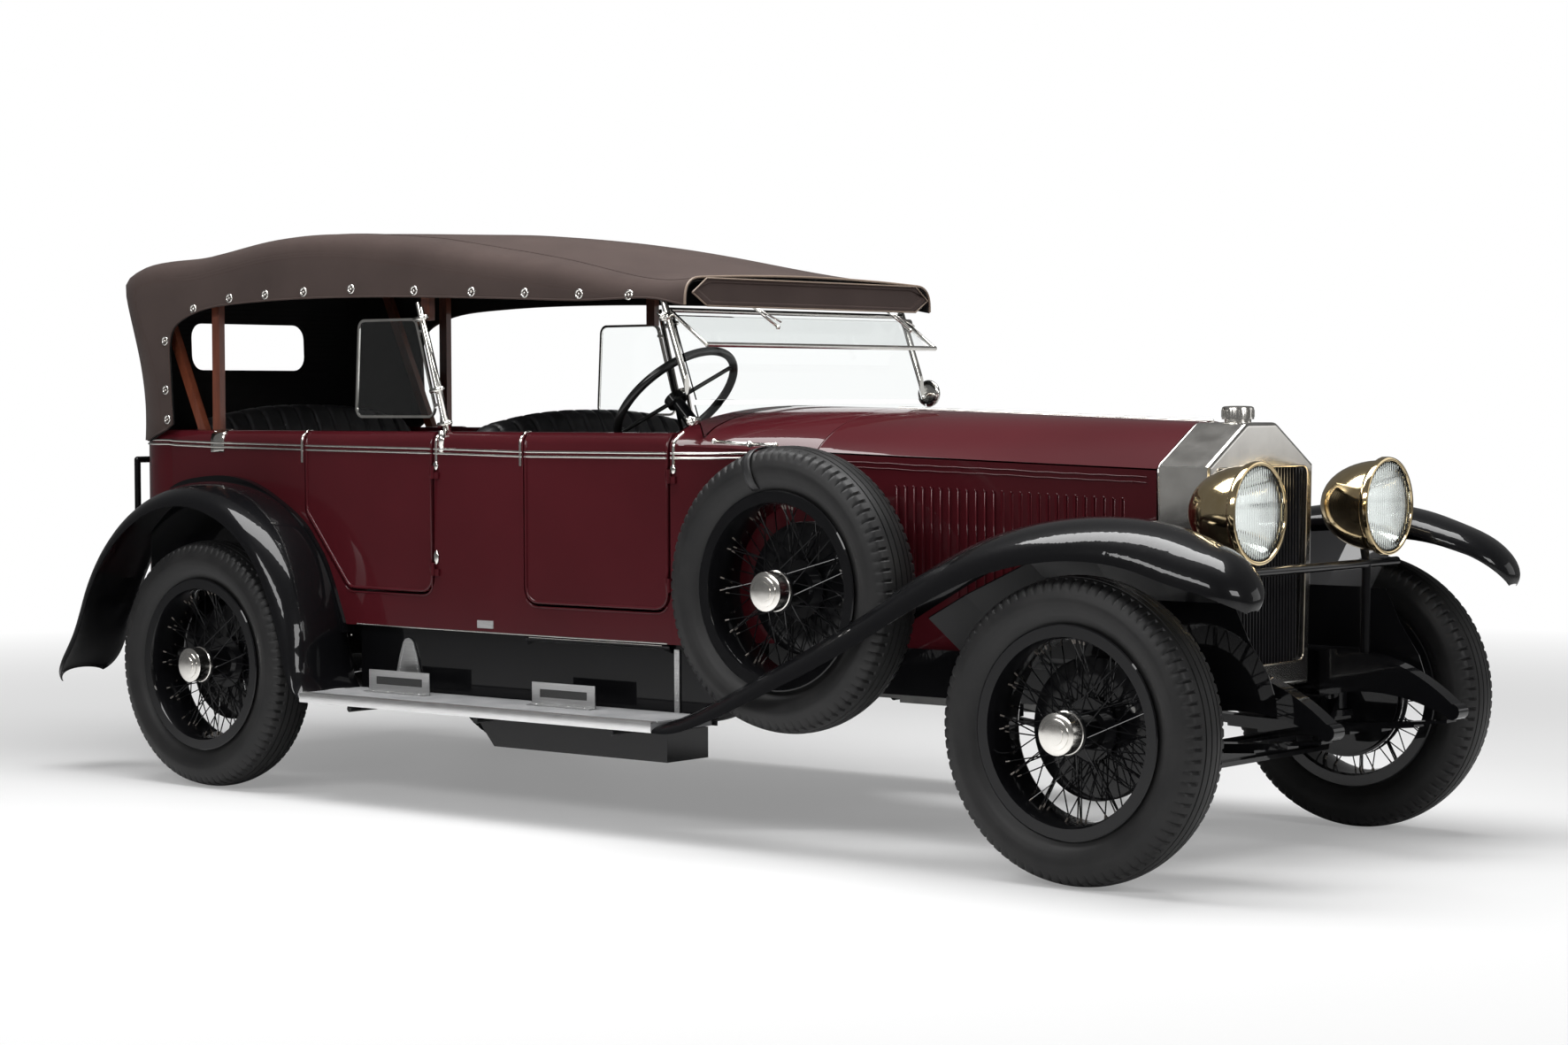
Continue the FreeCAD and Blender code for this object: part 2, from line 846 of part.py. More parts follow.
def save_chassis():
    half_rear = rail_rear_y + rail_flange / 2 - rail_wall / 2
    middle_z = frame_top_z - rail_height / 2
    front_x = ahead_front(-front_cross_behind)
    pieces = []
    for shape in (side_rail(), dumb_iron()):
        pieces += both_sides(shape)
    front_z = radiator_bottom_z - rest_gap - cross_tube_radius
    pieces.append(cross_member(front_x, rail_front_y + rail_flange / 2 - rail_wall / 2, front_z,
                               cross_tube_radius))
    mid_x = ahead_rear(kick_half_length + kick_ramp + rail_height)
    pieces.append(cross_member(mid_x, half_rear, middle_z, cross_tube_radius))
    for shape in [front_hanger()] + rear_hangers() + board_irons():
        pieces += both_sides(shape)
    tail_x = ahead_rear(-frame_tail) + cross_tube_radius
    pieces.append(cross_member(tail_x, half_rear, middle_z + kick_height, cross_tube_radius))
    boss_x = front_x + cross_tube_radius
    boss = Part.makeCylinder(crank_boss_radius, crank_boss_length + cross_tube_radius,
                             Vector(boss_x - cross_tube_radius, 0, front_z), ALONG_X)
    pieces.append(boss)
    frame = fuse(pieces)
    bore_length = crank_boss_length + 2 * (cross_tube_radius + overrun)
    bore = Part.makeCylinder(crank_bore_radius, bore_length,
                             Vector(front_x - cross_tube_radius - overrun, 0, front_z), ALONG_X)
    save("chassis_frame", [frame.cut(bore)])


# Springs and axles

def leaf_stack(x, y, seat_z, half_length, camber, upward):
    # leaves shorten away from the main leaf; the stack lies on the axle, or hangs below it
    leaves = []
    for leaf in range(spring_leaves):
        share = 1 - leaf / spring_leaves
        reach = half_length * share
        rise = camber * share * share
        level = seat_z + upward * leaf_thickness * (spring_leaves - 1 - leaf)
        if upward < 0:
            level = seat_z - leaf_thickness * (leaf + 1)

        def at(along, up):
            return Vector(x + along, y - spring_width / 2, level + up)

        low = Part.Arc(at(-reach, rise), at(0, 0), at(reach, rise)).toShape()
        high = Part.Arc(at(reach, rise + leaf_thickness), at(0, leaf_thickness),
                        at(-reach, rise + leaf_thickness)).toShape()
        ends = [Part.LineSegment(low.Vertexes[1].Point, high.Vertexes[0].Point).toShape(),
                Part.LineSegment(high.Vertexes[1].Point, low.Vertexes[0].Point).toShape()]
        wire = Part.Wire([low, ends[0], high, ends[1]])
        leaves.append(Part.Face(wire).extrude(Vector(0, spring_width, 0)))
    return fuse(leaves)


def spring_pad(x, y, z_low, z_high):
    # the block between a spring's middle and its axle
    half = spring_width / 2
    return box(x - half, x + half, y - half, y + half, z_low, z_high)


def front_beam():
    top = front_beam_z + beam_height / 2
    low = front_beam_z - beam_height / 2
    eye_low = axle_z - kingpin_eye_height / 2
    eye_neck = axle_z + kingpin_neck_drop
    knee_y = kingpin_y - kingpin_eye_radius - knuckle_gap
    outline = [
        (-beam_drop_y, low), (beam_drop_y, low), (knee_y, eye_low), (kingpin_y, eye_low),
        (kingpin_y, eye_neck), (beam_drop_y - beam_height / 2, top), (-beam_drop_y + beam_height / 2, top),
        (-kingpin_y, eye_neck), (-kingpin_y, eye_low), (-knee_y, eye_low),
    ]
    bar = prism_x(outline, front_axle_x - beam_width / 2, front_axle_x + beam_width / 2)
    for side in (RIGHT, LEFT):
        low_edge = RIGHT * (beam_drop_y - beam_height)
        pocket_depth = (beam_width - beam_web) / 2
        x_low = front_axle_x + (beam_web / 2 if side == LEFT else -beam_width / 2 - overrun)
        x_high = x_low + pocket_depth + overrun
        bar = bar.cut(box(x_low, x_high, low_edge, -low_edge, low + beam_web, top - beam_web))
    eyes = []
    for side in (RIGHT, LEFT):
        base = Vector(front_axle_x, side * kingpin_y, axle_z - kingpin_eye_height / 2)
        eyes.append(Part.makeCylinder(kingpin_eye_radius, kingpin_eye_height, base))
    beam = fuse([bar] + eyes)
    for side in (RIGHT, LEFT):
        base = Vector(front_axle_x, side * kingpin_y, 0)
        beam = beam.cut(Part.makeCylinder(kingpin_radius + bearing_clearance, tyre_radius + axle_z, base))
    return beam


def save_front_axle():
    springs = []
    for side in (RIGHT, LEFT):
        y = side * spring_y_front
        springs.append(leaf_stack(front_axle_x, y, front_spring_seat, front_spring_half,
                                  front_spring_camber, 1))
        springs.append(spring_pad(front_axle_x, y, front_beam_z, front_spring_seat + leaf_thickness))
    save("front_axle", [fuse([front_beam()] + springs)])


def rear_axle_casing():
    half = differential_width / 2
    flange_face = wheel_y - drum_inner_place - backplate_gap - backplate_thickness
    casing = [cross_member(rear_axle_x, flange_face, axle_z, axle_tube_radius)]
    outline = [
        (0, -half * 2), (axle_tube_radius, -half * 2), (differential_radius, -half / 2),
        (differential_radius, half / 2), (axle_tube_radius, half * 2), (0, half * 2),
    ]
    casing.append(turned_y(outline, rear_axle_x, axle_z))
    for side in (RIGHT, LEFT):
        face = Vector(rear_axle_x, side * flange_face, axle_z)
        outward = Vector(0, side, 0)
        casing.append(Part.makeCylinder(backplate_radius, backplate_thickness, face, outward))
        stub_end = wheel_y + hub_flange_place - flange_face - overrun
        casing.append(Part.makeCylinder(stub_radius, stub_end, face, outward))
    return casing


def save_rear_axle():
    springs = []
    for side in (RIGHT, LEFT):
        y = side * spring_y_rear
        springs.append(leaf_stack(rear_axle_x, y, rear_spring_seat, rear_spring_half, rear_spring_camber, -1))
        springs.append(spring_pad(rear_axle_x, y, rear_spring_seat - spring_pad_lap, axle_z))
    save("rear_axle", [fuse(rear_axle_casing() + springs)])


def knuckle(side):
    x = front_axle_x
    eye_low = axle_z - kingpin_eye_height / 2
    eye_high = axle_z + kingpin_eye_height / 2
    face = wheel_y - drum_inner_place - backplate_gap - backplate_thickness
    pieces = []
    for z in (eye_low - knuckle_gap - knuckle_lug, eye_high + knuckle_gap):
        pieces.append(Part.makeCylinder(kingpin_eye_radius, knuckle_lug, Vector(x, kingpin_y, z)))
        lug_outer = face + backplate_thickness / 2
        pieces.append(box(x - kingpin_eye_radius, x + kingpin_eye_radius, kingpin_y, lug_outer,
                          z, z + knuckle_lug))
    pin_height = kingpin_eye_height + (knuckle_gap + knuckle_lug) * 2
    pin_low = Vector(x, kingpin_y, eye_low - knuckle_gap - knuckle_lug)
    pieces.append(Part.makeCylinder(kingpin_radius, pin_height, pin_low))
    plate_start = Vector(x, face, axle_z)
    pieces.append(Part.makeCylinder(backplate_radius, backplate_thickness, plate_start, ALONG_Y))
    stub_length = wheel_y + hub_flange_place - face - overrun
    pieces.append(Part.makeCylinder(stub_radius, stub_length, plate_start, ALONG_Y))
    arm_low = eye_low - knuckle_gap - knuckle_lug
    arm = [(x, kingpin_y), (x, face), (x - track_arm_length, kingpin_y),
           (x - track_arm_length, kingpin_y - track_arm_width)]
    pieces.append(prism_z(arm, arm_low, arm_low + knuckle_lug))
    pad = Vector(x - track_arm_length, kingpin_y - track_arm_width / 2, arm_low)
    pieces.append(Part.makeCylinder(track_rod_pad_radius, knuckle_lug, pad))
    shape = fuse(pieces)
    return shape if side == LEFT else mirrored(shape)


def track_rod():
    x = front_axle_x - track_arm_length
    y = kingpin_y - track_arm_width / 2
    top = axle_z - kingpin_eye_height / 2 - knuckle_gap - knuckle_lug - rest_gap
    low = front_beam_z - track_rod_pad_radius
    pieces = [cross_member(x, y, front_beam_z, track_rod_radius)]
    for side in (RIGHT, LEFT):
        pieces.append(Part.makeCylinder(track_rod_pad_radius, top - low, Vector(x, side * y, low)))
    return fuse(pieces)


def save_steering_links():
    save("knuckle_right", [knuckle(RIGHT)])
    save("knuckle_left", [knuckle(LEFT)])
    save("track_rod", [track_rod()])


# Engine and drive

def save_engine():
    front = ahead_front(-engine_behind)
    rear = front - engine_length
    gear_rear = rear - gearbox_length
    half = engine_width / 2
    pieces = [
        box(rear, front, -half, half, sump_z, engine_top_z),
        box(gear_rear, rear + overrun, -gearbox_width / 2, gearbox_width / 2,
            floor_z - gearbox_height - overrun, floor_z - overrun),
    ]
    bearer_half = rail_front_y + rail_flange / 2 - rail_wall - rest_gap
    bearer_z = frame_top_z - rail_height / 2
    for share in engine_bearer_shares:
        pieces.append(cross_member(blend(rear, front, share), bearer_half, bearer_z, cross_tube_radius))
    tube_end = Vector(rear_axle_x + differential_radius + rest_gap, 0, axle_z)
    pieces.append(rod(Vector(gear_rear + overrun, 0, torque_tube_z), tube_end, torque_tube_radius))
    save("engine_gearbox", [fuse(pieces)])


def save_exhaust():
    front = ahead_front(-engine_behind - engine_length / 2)
    silencer_front = ahead_front(-engine_behind - engine_length - gearbox_length)
    silencer_rear = silencer_front - silencer_length
    over_axle_z = axle_z + axle_tube_radius + exhaust_radius + overrun
    outlet_y = engine_width / 2 + exhaust_radius + rest_gap
    points = [
        Vector(front, outlet_y, exhaust_z),
        Vector(front - silencer_radius, outlet_y, exhaust_z),
        Vector(front - engine_length / 2, exhaust_y, exhaust_z),
        Vector(ahead_rear(kick_half_length + kick_ramp), exhaust_y, exhaust_z),
        Vector(ahead_rear(kick_half_length / 2), exhaust_y, over_axle_z),
        Vector(ahead_rear(-kick_half_length / 2), exhaust_y, over_axle_z),
        Vector(ahead_rear(-kick_half_length), exhaust_y, exhaust_z),
        Vector(ahead_rear(-kick_half_length - overrun), exhaust_y, exhaust_z),
    ]
    silencer = rod(Vector(silencer_front, exhaust_y, exhaust_z), Vector(silencer_rear, exhaust_y, exhaust_z),
                   silencer_radius)
    save("exhaust", [fuse([tube_path(points, exhaust_radius), silencer])])


def save_fuel_tank():
    front = ahead_rear(-body_tail + tank_ahead_of_tail)
    low = tank_z - tank_radius
    tank = box(front - tank_length, front, -tank_half_width, tank_half_width, low, tank_z + tank_radius)
    long_edges = [edge for edge in tank.Edges if edge.BoundBox.YLength > tank_half_width]
    save("fuel_tank", [tank.makeFillet(tank_radius / 2, long_edges)])


# Body

def body_plan(inset):
    # the body's outline from above, half side: narrow scuttle, full doors, rounded tail
    tail = ahead_rear(-body_tail) + inset
    corner = body_corner - inset
    rear_half = body_rear_half_width - inset
    full = body_half_width - inset
    front = ahead_front(-body_shoulder_front)
    return [
        (front, full),
        (ahead_rear(rear_door_front_ahead), full),
        (ahead_rear(rear_door_rear_ahead), blend(full, rear_half, body_taper_share)),
        (tail + corner, rear_half),
    ]


def body_block(inset, z_low, z_high):
    # the plan outline, closed across the car, with round tail corners and bowed sides
    points = body_plan(inset)
    tail = ahead_rear(-body_tail) + inset
    corner = body_corner - inset
    rear_half = body_rear_half_width - inset
    straight_half = rear_half - corner * tail_corner_share

    def at(x, y):
        return Vector(x, y, z_low)

    left = Part.BSplineCurve()
    left.interpolate([at(x, y) for x, y in points])
    right = Part.BSplineCurve()
    right.interpolate([at(x, -y) for x, y in reversed(points)])
    knee_x = tail + corner * tail_knee_share
    knee_y = rear_half - corner * tail_knee_share * tail_corner_share
    corner_left = Part.Arc(at(tail + corner, rear_half), at(knee_x, knee_y), at(tail, straight_half))
    corner_right = Part.Arc(at(tail, -straight_half), at(knee_x, -knee_y), at(tail + corner, -rear_half))
    front_x = points[0][0]
    front_half = points[0][1]
    edges = [
        left.toShape(),
        corner_left.toShape(),
        Part.LineSegment(at(tail, straight_half), at(tail, -straight_half)).toShape(),
        corner_right.toShape(),
        right.toShape(),
        Part.LineSegment(at(front_x, -front_half), at(front_x, front_half)).toShape(),
    ]
    return Part.Face(Part.Wire(edges)).extrude(Vector(0, 0, z_high - z_low))


def rounded_top(block):
    # the outer top edge rolls inward above the belt
    front = ahead_front(-front_door_front_behind)
    top = [edge for edge in block.Edges
           if edge.BoundBox.ZMin > body_top_z - overrun and edge.BoundBox.XMin < front]
    sides = [edge for edge in top if edge.BoundBox.XLength > body_wall or edge.BoundBox.YLength > body_wall]
    front_x = ahead_front(-body_shoulder_front)
    sides = [edge for edge in sides if edge.BoundBox.XMin < front_x - overrun]
    return block.makeFillet(body_top_round, sides)


def front_door_outline(gap):
    front = ahead_front(-front_door_front_behind) - gap
    rear = ahead_front(-front_door_rear_behind) + gap
    low = front_door_low_z + gap
    high = body_top_z + overrun
    return [(front, high), (front, low), (rear, low), (rear, high)]


def rear_door_outline(gap):
    front = ahead_rear(rear_door_front_ahead) - gap
    rear = ahead_rear(rear_door_rear_ahead) + gap
    sill = ahead_rear(rear_door_sill_ahead) + gap
    low = rear_door_low_z + gap
    high = body_top_z + overrun
    return [(front, high), (front, low), (sill, low), (rear, rear_door_arch_z + gap), (rear, high)]


def door_block(outline, gap, y_low, y_high):
    # the door's outline through the body, with its lower corners rounded
    block = prism_y(outline(gap), y_low, y_high)
    low_edges = [edge for edge in block.Edges
                 if edge.BoundBox.YLength > body_wall and edge.BoundBox.ZMax < body_top_z]
    return block.makeFillet(door_corner - gap, low_edges)


def body_ring():
    outer = rounded_top(body_block(0, body_bottom_z, body_top_z))
    inner = body_block(body_wall, floor_z, body_top_z + overrun)
    return outer, inner


def hinge_half(x, y, z, reach):
    # one barrel on the hinge line, outside the skin, with the leaf that joins it to its panel
    barrel = Part.makeCylinder(hinge_radius, hinge_height, Vector(x, y, z))
    leaf = box(min(x, x + reach), max(x, x + reach), y - hinge_out - hinge_bite, y, z, z + hinge_height)
    return fuse([barrel, leaf])


def hinge_levels(low_z):
    return (low_z + hinge_foot, belt_z - hinge_head)


def post_hinges(x, y, low_z):
    return [hinge_half(x, y, z, hinge_leaf) for z in hinge_levels(low_z)]


def door_hinges(x, y, low_z):
    return [hinge_half(x, y, z + hinge_height + rest_gap, -hinge_leaf) for z in hinge_levels(low_z)]


def front_hinge_place():
    return ahead_front(-front_door_front_behind), body_half_width + hinge_out


def rear_hinge_place(outer):
    # the skin's distance from the centre line is found where the hinge stands
    x = ahead_rear(rear_door_front_ahead)
    middle = (belt_z + rear_door_arch_z) / 2
    line = Part.LineSegment(Vector(x, 0, middle), Vector(x, body_half_width + overrun, middle)).toShape()
    return x, line.common(outer).BoundBox.YMax + hinge_out


def save_body():
    outer, inner = body_ring()
    ring = outer.cut(inner)
    tub = outer.cut(body_block(body_wall, floor_z + floor_thickness, body_top_z + overrun))
    under = body_block(body_wall, body_bottom_z - overrun, floor_z)
    tub = tub.cut(under)
    riser_x = ahead_rear(riser_ahead)
    tail_x = ahead_rear(-body_tail)
    raised = body_block(body_wall, body_bottom_z - overrun, rear_floor_z + floor_thickness)
    raised = raised.common(box(tail_x, riser_x + floor_thickness, -body_half_width, body_half_width,
                               floor_z, body_top_z))
    hollow = body_block(body_wall, body_bottom_z - overrun, rear_floor_z)
    hollow = hollow.common(box(tail_x, riser_x, -body_half_width, body_half_width, 0, body_top_z))
    tub = fuse([tub, raised]).cut(hollow)
    doors = {
        "front_door": (front_door_outline, front_hinge_place(), front_door_low_z),
        "rear_door": (rear_door_outline, rear_hinge_place(outer), rear_door_low_z),
    }
    for name, (outline, (x, y), low_z) in doors.items():
        panel = ring.common(door_block(outline, door_gap, 0, body_half_width + overrun))
        panel = fuse([panel] + door_hinges(x, y, low_z))
        tub = tub.cut(door_block(outline, 0, -body_half_width - overrun, body_half_width + overrun))
        save(name + "_left", [panel])
        save(name + "_right", [mirrored(panel)])
    x, y = rear_hinge_place(outer)
    barrels = post_hinges(x, y, rear_door_low_z)
    barrels += [mirrored(barrel) for barrel in barrels]
    tub = fuse([tub] + barrels)
    for y in (-plate_bolt_width / 2, plate_bolt_width / 2):
        for z in (plate_z - plate_bolt_height / 2, plate_z + plate_bolt_height / 2):
            start = Vector(tail_x - overrun, y, z)
            tub = tub.cut(Part.makeCylinder(plate_bolt_radius, body_wall + 2 * overrun, start, ALONG_X))
    save("body_tub", [tub])


# Scuttle and bonnet

def crown_half(x, start_y, half, shoulder_z, crown_z, shares):
    # the top's curve from near the centre line out to the shoulder
    flat_share, roll_share, lift_share = shares
    path = Part.BezierCurve()
    path.setPoles([Vector(x, start_y, crown_z), Vector(x, half * flat_share, crown_z),
                   Vector(x, half * roll_share, blend(shoulder_z, crown_z, lift_share)),
                   Vector(x, half, shoulder_z)])
    return path.toShape()


def hood_section(x, half, shoulder_z, crown_z, low_z, shares):
    # one cross section of the scuttle: upright sides, then a crowned top
    def at(y, z):
        return Vector(x, y, z)

    left = crown_half(x, 0, half, shoulder_z, crown_z, shares)
    right = mirrored(left)
    edges = [
        left,
        Part.LineSegment(at(half, shoulder_z), at(half, low_z)).toShape(),
        Part.LineSegment(at(half, low_z), at(-half, low_z)).toShape(),
        Part.LineSegment(at(-half, low_z), at(-half, shoulder_z)).toShape(),
        right,
    ]
    return Part.Wire(Part.sortEdges(edges)[0])


def scuttle_block(inset, x_front, x_rear, low_z):
    # from the doors' front posts, narrowing to the bonnet
    sections = []
    for share, width_share, height_share in scuttle_shares:
        x = blend(x_rear, x_front, share)
        half = blend(body_half_width, bonnet_rear_half, width_share) - inset
        shoulder = blend(body_top_z - body_top_round, bonnet_shoulder_rear_z, share) - inset
        crown = blend(scuttle_top_z, bonnet_rear_z, height_share) - inset
        shares = blend_all(scuttle_crown_shares, bonnet_rear_crown_shares, share)
        sections.append(hood_section(x, half, shoulder, crown, low_z, shares))
    return Part.makeLoft(sections, True, False)


def save_scuttle():
    rear = ahead_front(-body_shoulder_front)
    front = ahead_front(-scuttle_front_behind)
    outer = scuttle_block(0, front, rear, body_bottom_z)
    inner = scuttle_block(body_wall, front, rear, body_bottom_z - overrun)
    cabin_side = box(rear - overrun, front - bulkhead_thickness, -body_half_width, body_half_width,
                     floor_z + floor_thickness, scuttle_top_z)
    shell = outer.cut(inner.common(cabin_side))
    under = box(rear - overrun, front - bulkhead_thickness, -body_half_width + body_wall,
                body_half_width - body_wall, body_bottom_z - overrun, floor_z)
    shell = shell.cut(under)
    front_under = box(front - bulkhead_lap, front + overrun, -body_half_width, body_half_width,
                      body_bottom_z - overrun, floor_z)
    shell = shell.cut(front_under)
    column_start, column_end = column_line()
    shell = shell.cut(rod(column_start, column_end, column_radius + rest_gap)).cut(steering_gear(rest_gap))
    x, y = front_hinge_place()
    barrels = post_hinges(x, y, front_door_low_z)
    barrels += [mirrored(barrel) for barrel in barrels]
    save("scuttle", [fuse([shell] + barrels)])


def bonnet_place(share):
    front = ahead_front(-radiator_back_behind) - bonnet_gap
    rear = ahead_front(-scuttle_front_behind) + bonnet_gap
    return blend(rear, front, share)


def bonnet_top():
    # one half of the top, from the centre hinge to the shoulder
    sections = []
    for share in bonnet_section_shares:
        x = bonnet_place(share)
        half = blend(bonnet_rear_half, bonnet_front_half, share)
        shoulder = blend(bonnet_shoulder_rear_z, bonnet_shoulder_front_z, share) + shoulder_gap
        crown = blend(bonnet_rear_z, bonnet_front_z, share)
        shares = blend_all(bonnet_rear_crown_shares, radiator_crown_shares, share)
        start = bonnet_hinge_radius + bonnet_hinge_gap
        outer = crown_half(x, start, half, shoulder, crown, shares)
        inner = crown_half(x, start, half - bonnet_skin, shoulder, crown - bonnet_skin, shares)
        edges = [
            outer,
            Part.LineSegment(outer.Vertexes[1].Point, inner.Vertexes[1].Point).toShape(),
            inner,
            Part.LineSegment(inner.Vertexes[0].Point, outer.Vertexes[0].Point).toShape(),
        ]
        sections.append(Part.Wire(Part.sortEdges(edges)[0]))
    return Part.makeLoft(sections, True, False)


def bonnet_side():
    # the louvred side, fixed upright on the frame; the top's edge closes down over it
    rear = bonnet_place(0)
    front = bonnet_place(1)
    outline = [(rear, bonnet_rear_half), (front, bonnet_front_half), (front, bonnet_front_half - bonnet_skin),
               (rear, bonnet_rear_half - bonnet_skin)]
    plate = prism_z(outline, bonnet_bottom_z, bonnet_shoulder_rear_z)
    top_cut = prism_y([(rear, bonnet_shoulder_rear_z - shoulder_gap),
                       (front, bonnet_shoulder_front_z - shoulder_gap),
                       (front, bonnet_shoulder_rear_z + overrun),
                       (rear, bonnet_shoulder_rear_z + overrun)], 0, bonnet_rear_half + overrun)
    plate = plate.cut(top_cut)
    ribs = []
    pitch = (front - rear) * louvre_run_share / louvre_count
    start = rear + (front - rear) * louvre_start_share
    for index in range(louvre_count):
        x = start + pitch * index
        share = (x - rear) / (front - rear)
        y = blend(bonnet_rear_half, bonnet_front_half, share)
        high = blend(bonnet_shoulder_rear_z, bonnet_shoulder_front_z, share) - louvre_top_drop
        rib_outline = [(x, y - bonnet_skin / 2), (x + pitch / 2, y + louvre_height / 2),
                       (x + pitch / 2, y - bonnet_skin)]
        ribs.append(prism_z(rib_outline, high - louvre_length, high))
    return fuse([plate] + ribs)


def save_bonnet():
    top = bonnet_top()
    save("bonnet_top_left", [top])
    save("bonnet_top_right", [mirrored(top)])
    save("bonnet_sides", both_sides(bonnet_side()))
    start = Vector(ahead_front(-scuttle_front_behind) + rest_gap, 0, bonnet_rear_z)
    end = Vector(ahead_front(-radiator_back_behind) - rest_gap, 0, bonnet_front_z)
    save("bonnet_hinge_rod", [rod(start, end, bonnet_hinge_radius)])


# Radiator

def radiator_block():
    # upright sides, then slopes up to a narrow flat top, as the bonnet's own front end
    back = ahead_front(-radiator_back_behind)
    front = ahead_front(radiator_front_ahead)
    low_half = radiator_half_width * radiator_low_half_share
    outline = [
        (-low_half, radiator_bottom_z), (-radiator_half_width, radiator_shoulder_z),
        (-radiator_flat_half, radiator_top_z), (radiator_flat_half, radiator_top_z),
        (radiator_half_width, radiator_shoulder_z), (low_half, radiator_bottom_z),
    ]
    block = prism_x(outline, back, front)
    ridges = [edge for edge in block.Edges
              if edge.BoundBox.XLength > radiator_rim and edge.BoundBox.ZMin > radiator_top_z - rest_gap]
    block = block.makeFillet(radiator_crown_round, ridges)
    front_edges = [edge for edge in block.Edges if edge.BoundBox.XMin > front - rest_gap]
    return block.makeFillet(radiator_nose_round, front_edges)


def radiator_window(inset):
    # the opening that holds the core and its slats
    back = ahead_front(-radiator_back_behind)
    front = ahead_front(radiator_front_ahead)
    low_half = radiator_half_width * radiator_low_half_share - radiator_rim - inset
    high_half = radiator_half_width - radiator_rim - inset
    low = radiator_bottom_z + radiator_apron + inset
    high = radiator_top_z - radiator_header - inset
    window = prism_x([(-low_half, low), (-high_half, high), (high_half, high), (low_half, low)],
                     back - overrun, front + overrun)
    long_edges = [edge for edge in window.Edges if edge.BoundBox.XLength > overrun]
    return window.makeFillet(radiator_window_round - inset, long_edges)


def save_radiator():
    back = ahead_front(-radiator_back_behind)
    front = ahead_front(radiator_front_ahead)
    shell = radiator_block().cut(radiator_window(0))
    cap_x = (front + back) / 2
    neck_low = radiator_top_z - radiator_rim / 2
    neck_high = radiator_top_z + cap_neck_height
    neck = Part.makeCylinder(cap_neck_radius, neck_high - neck_low, Vector(cap_x, 0, neck_low))
    cap = Part.makeCylinder(cap_radius, cap_height, Vector(cap_x, 0, neck_high))
    cap = cap.makeFillet(cap_round, [edge for edge in cap.Edges if edge.Closed])
    save("radiator_shell", [fuse([shell, neck, cap])])

    face = front - radiator_core_set_back
    half = radiator_half_width
    pitch = 2 * half / slat_count
    comb = [(back + overrun, -half), (face - slat_depth, -half)]
    for index in range(slat_count):
        middle = -half + pitch * (index + 0.5)
        low = middle - slat_thickness / 2
        high = middle + slat_thickness / 2
        comb += [(face - slat_depth, low), (face, low), (face, high), (face - slat_depth, high)]
    comb += [(face - slat_depth, half), (back + overrun, half)]
    block = prism_z(comb, radiator_bottom_z, radiator_top_z)
    save("radiator_core", [block.common(radiator_window(rest_gap))])


# Lamps

def lamp_bowl(side, radius, tip, mouth):
    # a solid of the bowl's shape, from its tip to its mouth
    y = side * lamp_y

    def at(x, out):
        return Vector(x, y + out, lamp_z)

    curve = Part.BezierCurve()
    middle = (tip + mouth) / 2
    curve.setPoles([at(tip, 0), at(tip, radius * lamp_bowl_share), at(middle, radius), at(mouth, radius)])
    edges = [
        curve.toShape(),
        Part.LineSegment(at(mouth, radius), at(mouth, 0)).toShape(),
        Part.LineSegment(at(mouth, 0), at(tip, 0)).toShape(),
    ]
    return Part.Face(Part.Wire(edges)).revolve(at(tip, 0), ALONG_X, FULL_TURN)


def lamp_outside(side, extra):
    front = ahead_front(lamp_front_ahead)
    back = front - lamp_depth
    rim_back = front - lamp_rim_depth
    rim = Part.makeCylinder(lamp_radius + extra, lamp_rim_depth + extra + extra,
                            Vector(rim_back - extra, side * lamp_y, lamp_z), ALONG_X)
    return fuse([lamp_bowl(side, lamp_radius - lamp_bowl_inset + extra, back - extra, rim_back), rim])


def lamp_shell(side):
    front = ahead_front(lamp_front_ahead)
    back = front - lamp_depth
    hollow = lamp_bowl(side, lamp_radius - lamp_hollow_inset, back + lamp_wall, front)
    return lamp_outside(side, 0).cut(hollow)


def save_lamps():
    bar_x = ahead_front(lamp_bar_ahead)
    save("headlamps", [lamp_shell(side) for side in (RIGHT, LEFT)])
    posts = [cross_member(bar_x, lamp_bar_half, lamp_bar_z, lamp_bar_radius)]
    for side in (RIGHT, LEFT):
        y = side * lamp_y
        foot = Vector(bar_x, side * rail_front_y, frame_top_z - rail_height / 2)
        posts.append(rod(foot, Vector(bar_x, y, lamp_bar_z), lamp_bar_radius))
        stem_x = ahead_front(lamp_front_ahead) - lamp_depth / 2
        posts.append(rod(Vector(bar_x, y, lamp_bar_z), Vector(stem_x, y, lamp_z), lamp_stem_radius))
    bar = fuse(posts)
    for side in (RIGHT, LEFT):
        bar = bar.cut(lamp_outside(side, rest_gap))
    for iron in both_sides(dumb_iron()):
        iron.translate(Vector(0, 0, rest_gap))
        bar = bar.cut(iron)
    save("lamp_bar", [max(bar.Solids, key=lambda solid: solid.Volume)])


# Fenders

def fender_section(x, z, normal, y_inner, y_outer, poles, rise, skin):
    # a thin crowned section; poles hold (width share, rise share) from the inner edge to the lip
    last = len(poles) - 1

    def at(index, inset):
        width_share, rise_share = poles[index]
        y = blend(y_inner, y_outer, width_share)
        up = rise * rise_share
        if width_share == 1.0:
            y -= inset
        if index != last:
            up -= inset
        return Vector(x + normal[0] * up, y, z + normal[1] * up)

    def curve(inset):
        path = Part.BezierCurve()
        path.setPoles([at(index, inset) for index in range(len(poles))])
        return path.toShape()

    outer = curve(0)
    inner = curve(skin)
    edges = [
        outer,
        Part.LineSegment(outer.Vertexes[1].Point, inner.Vertexes[1].Point).toShape(),
        inner,
        Part.LineSegment(inner.Vertexes[0].Point, outer.Vertexes[0].Point).toShape(),
    ]
    return Part.Wire(Part.sortEdges(edges)[0])


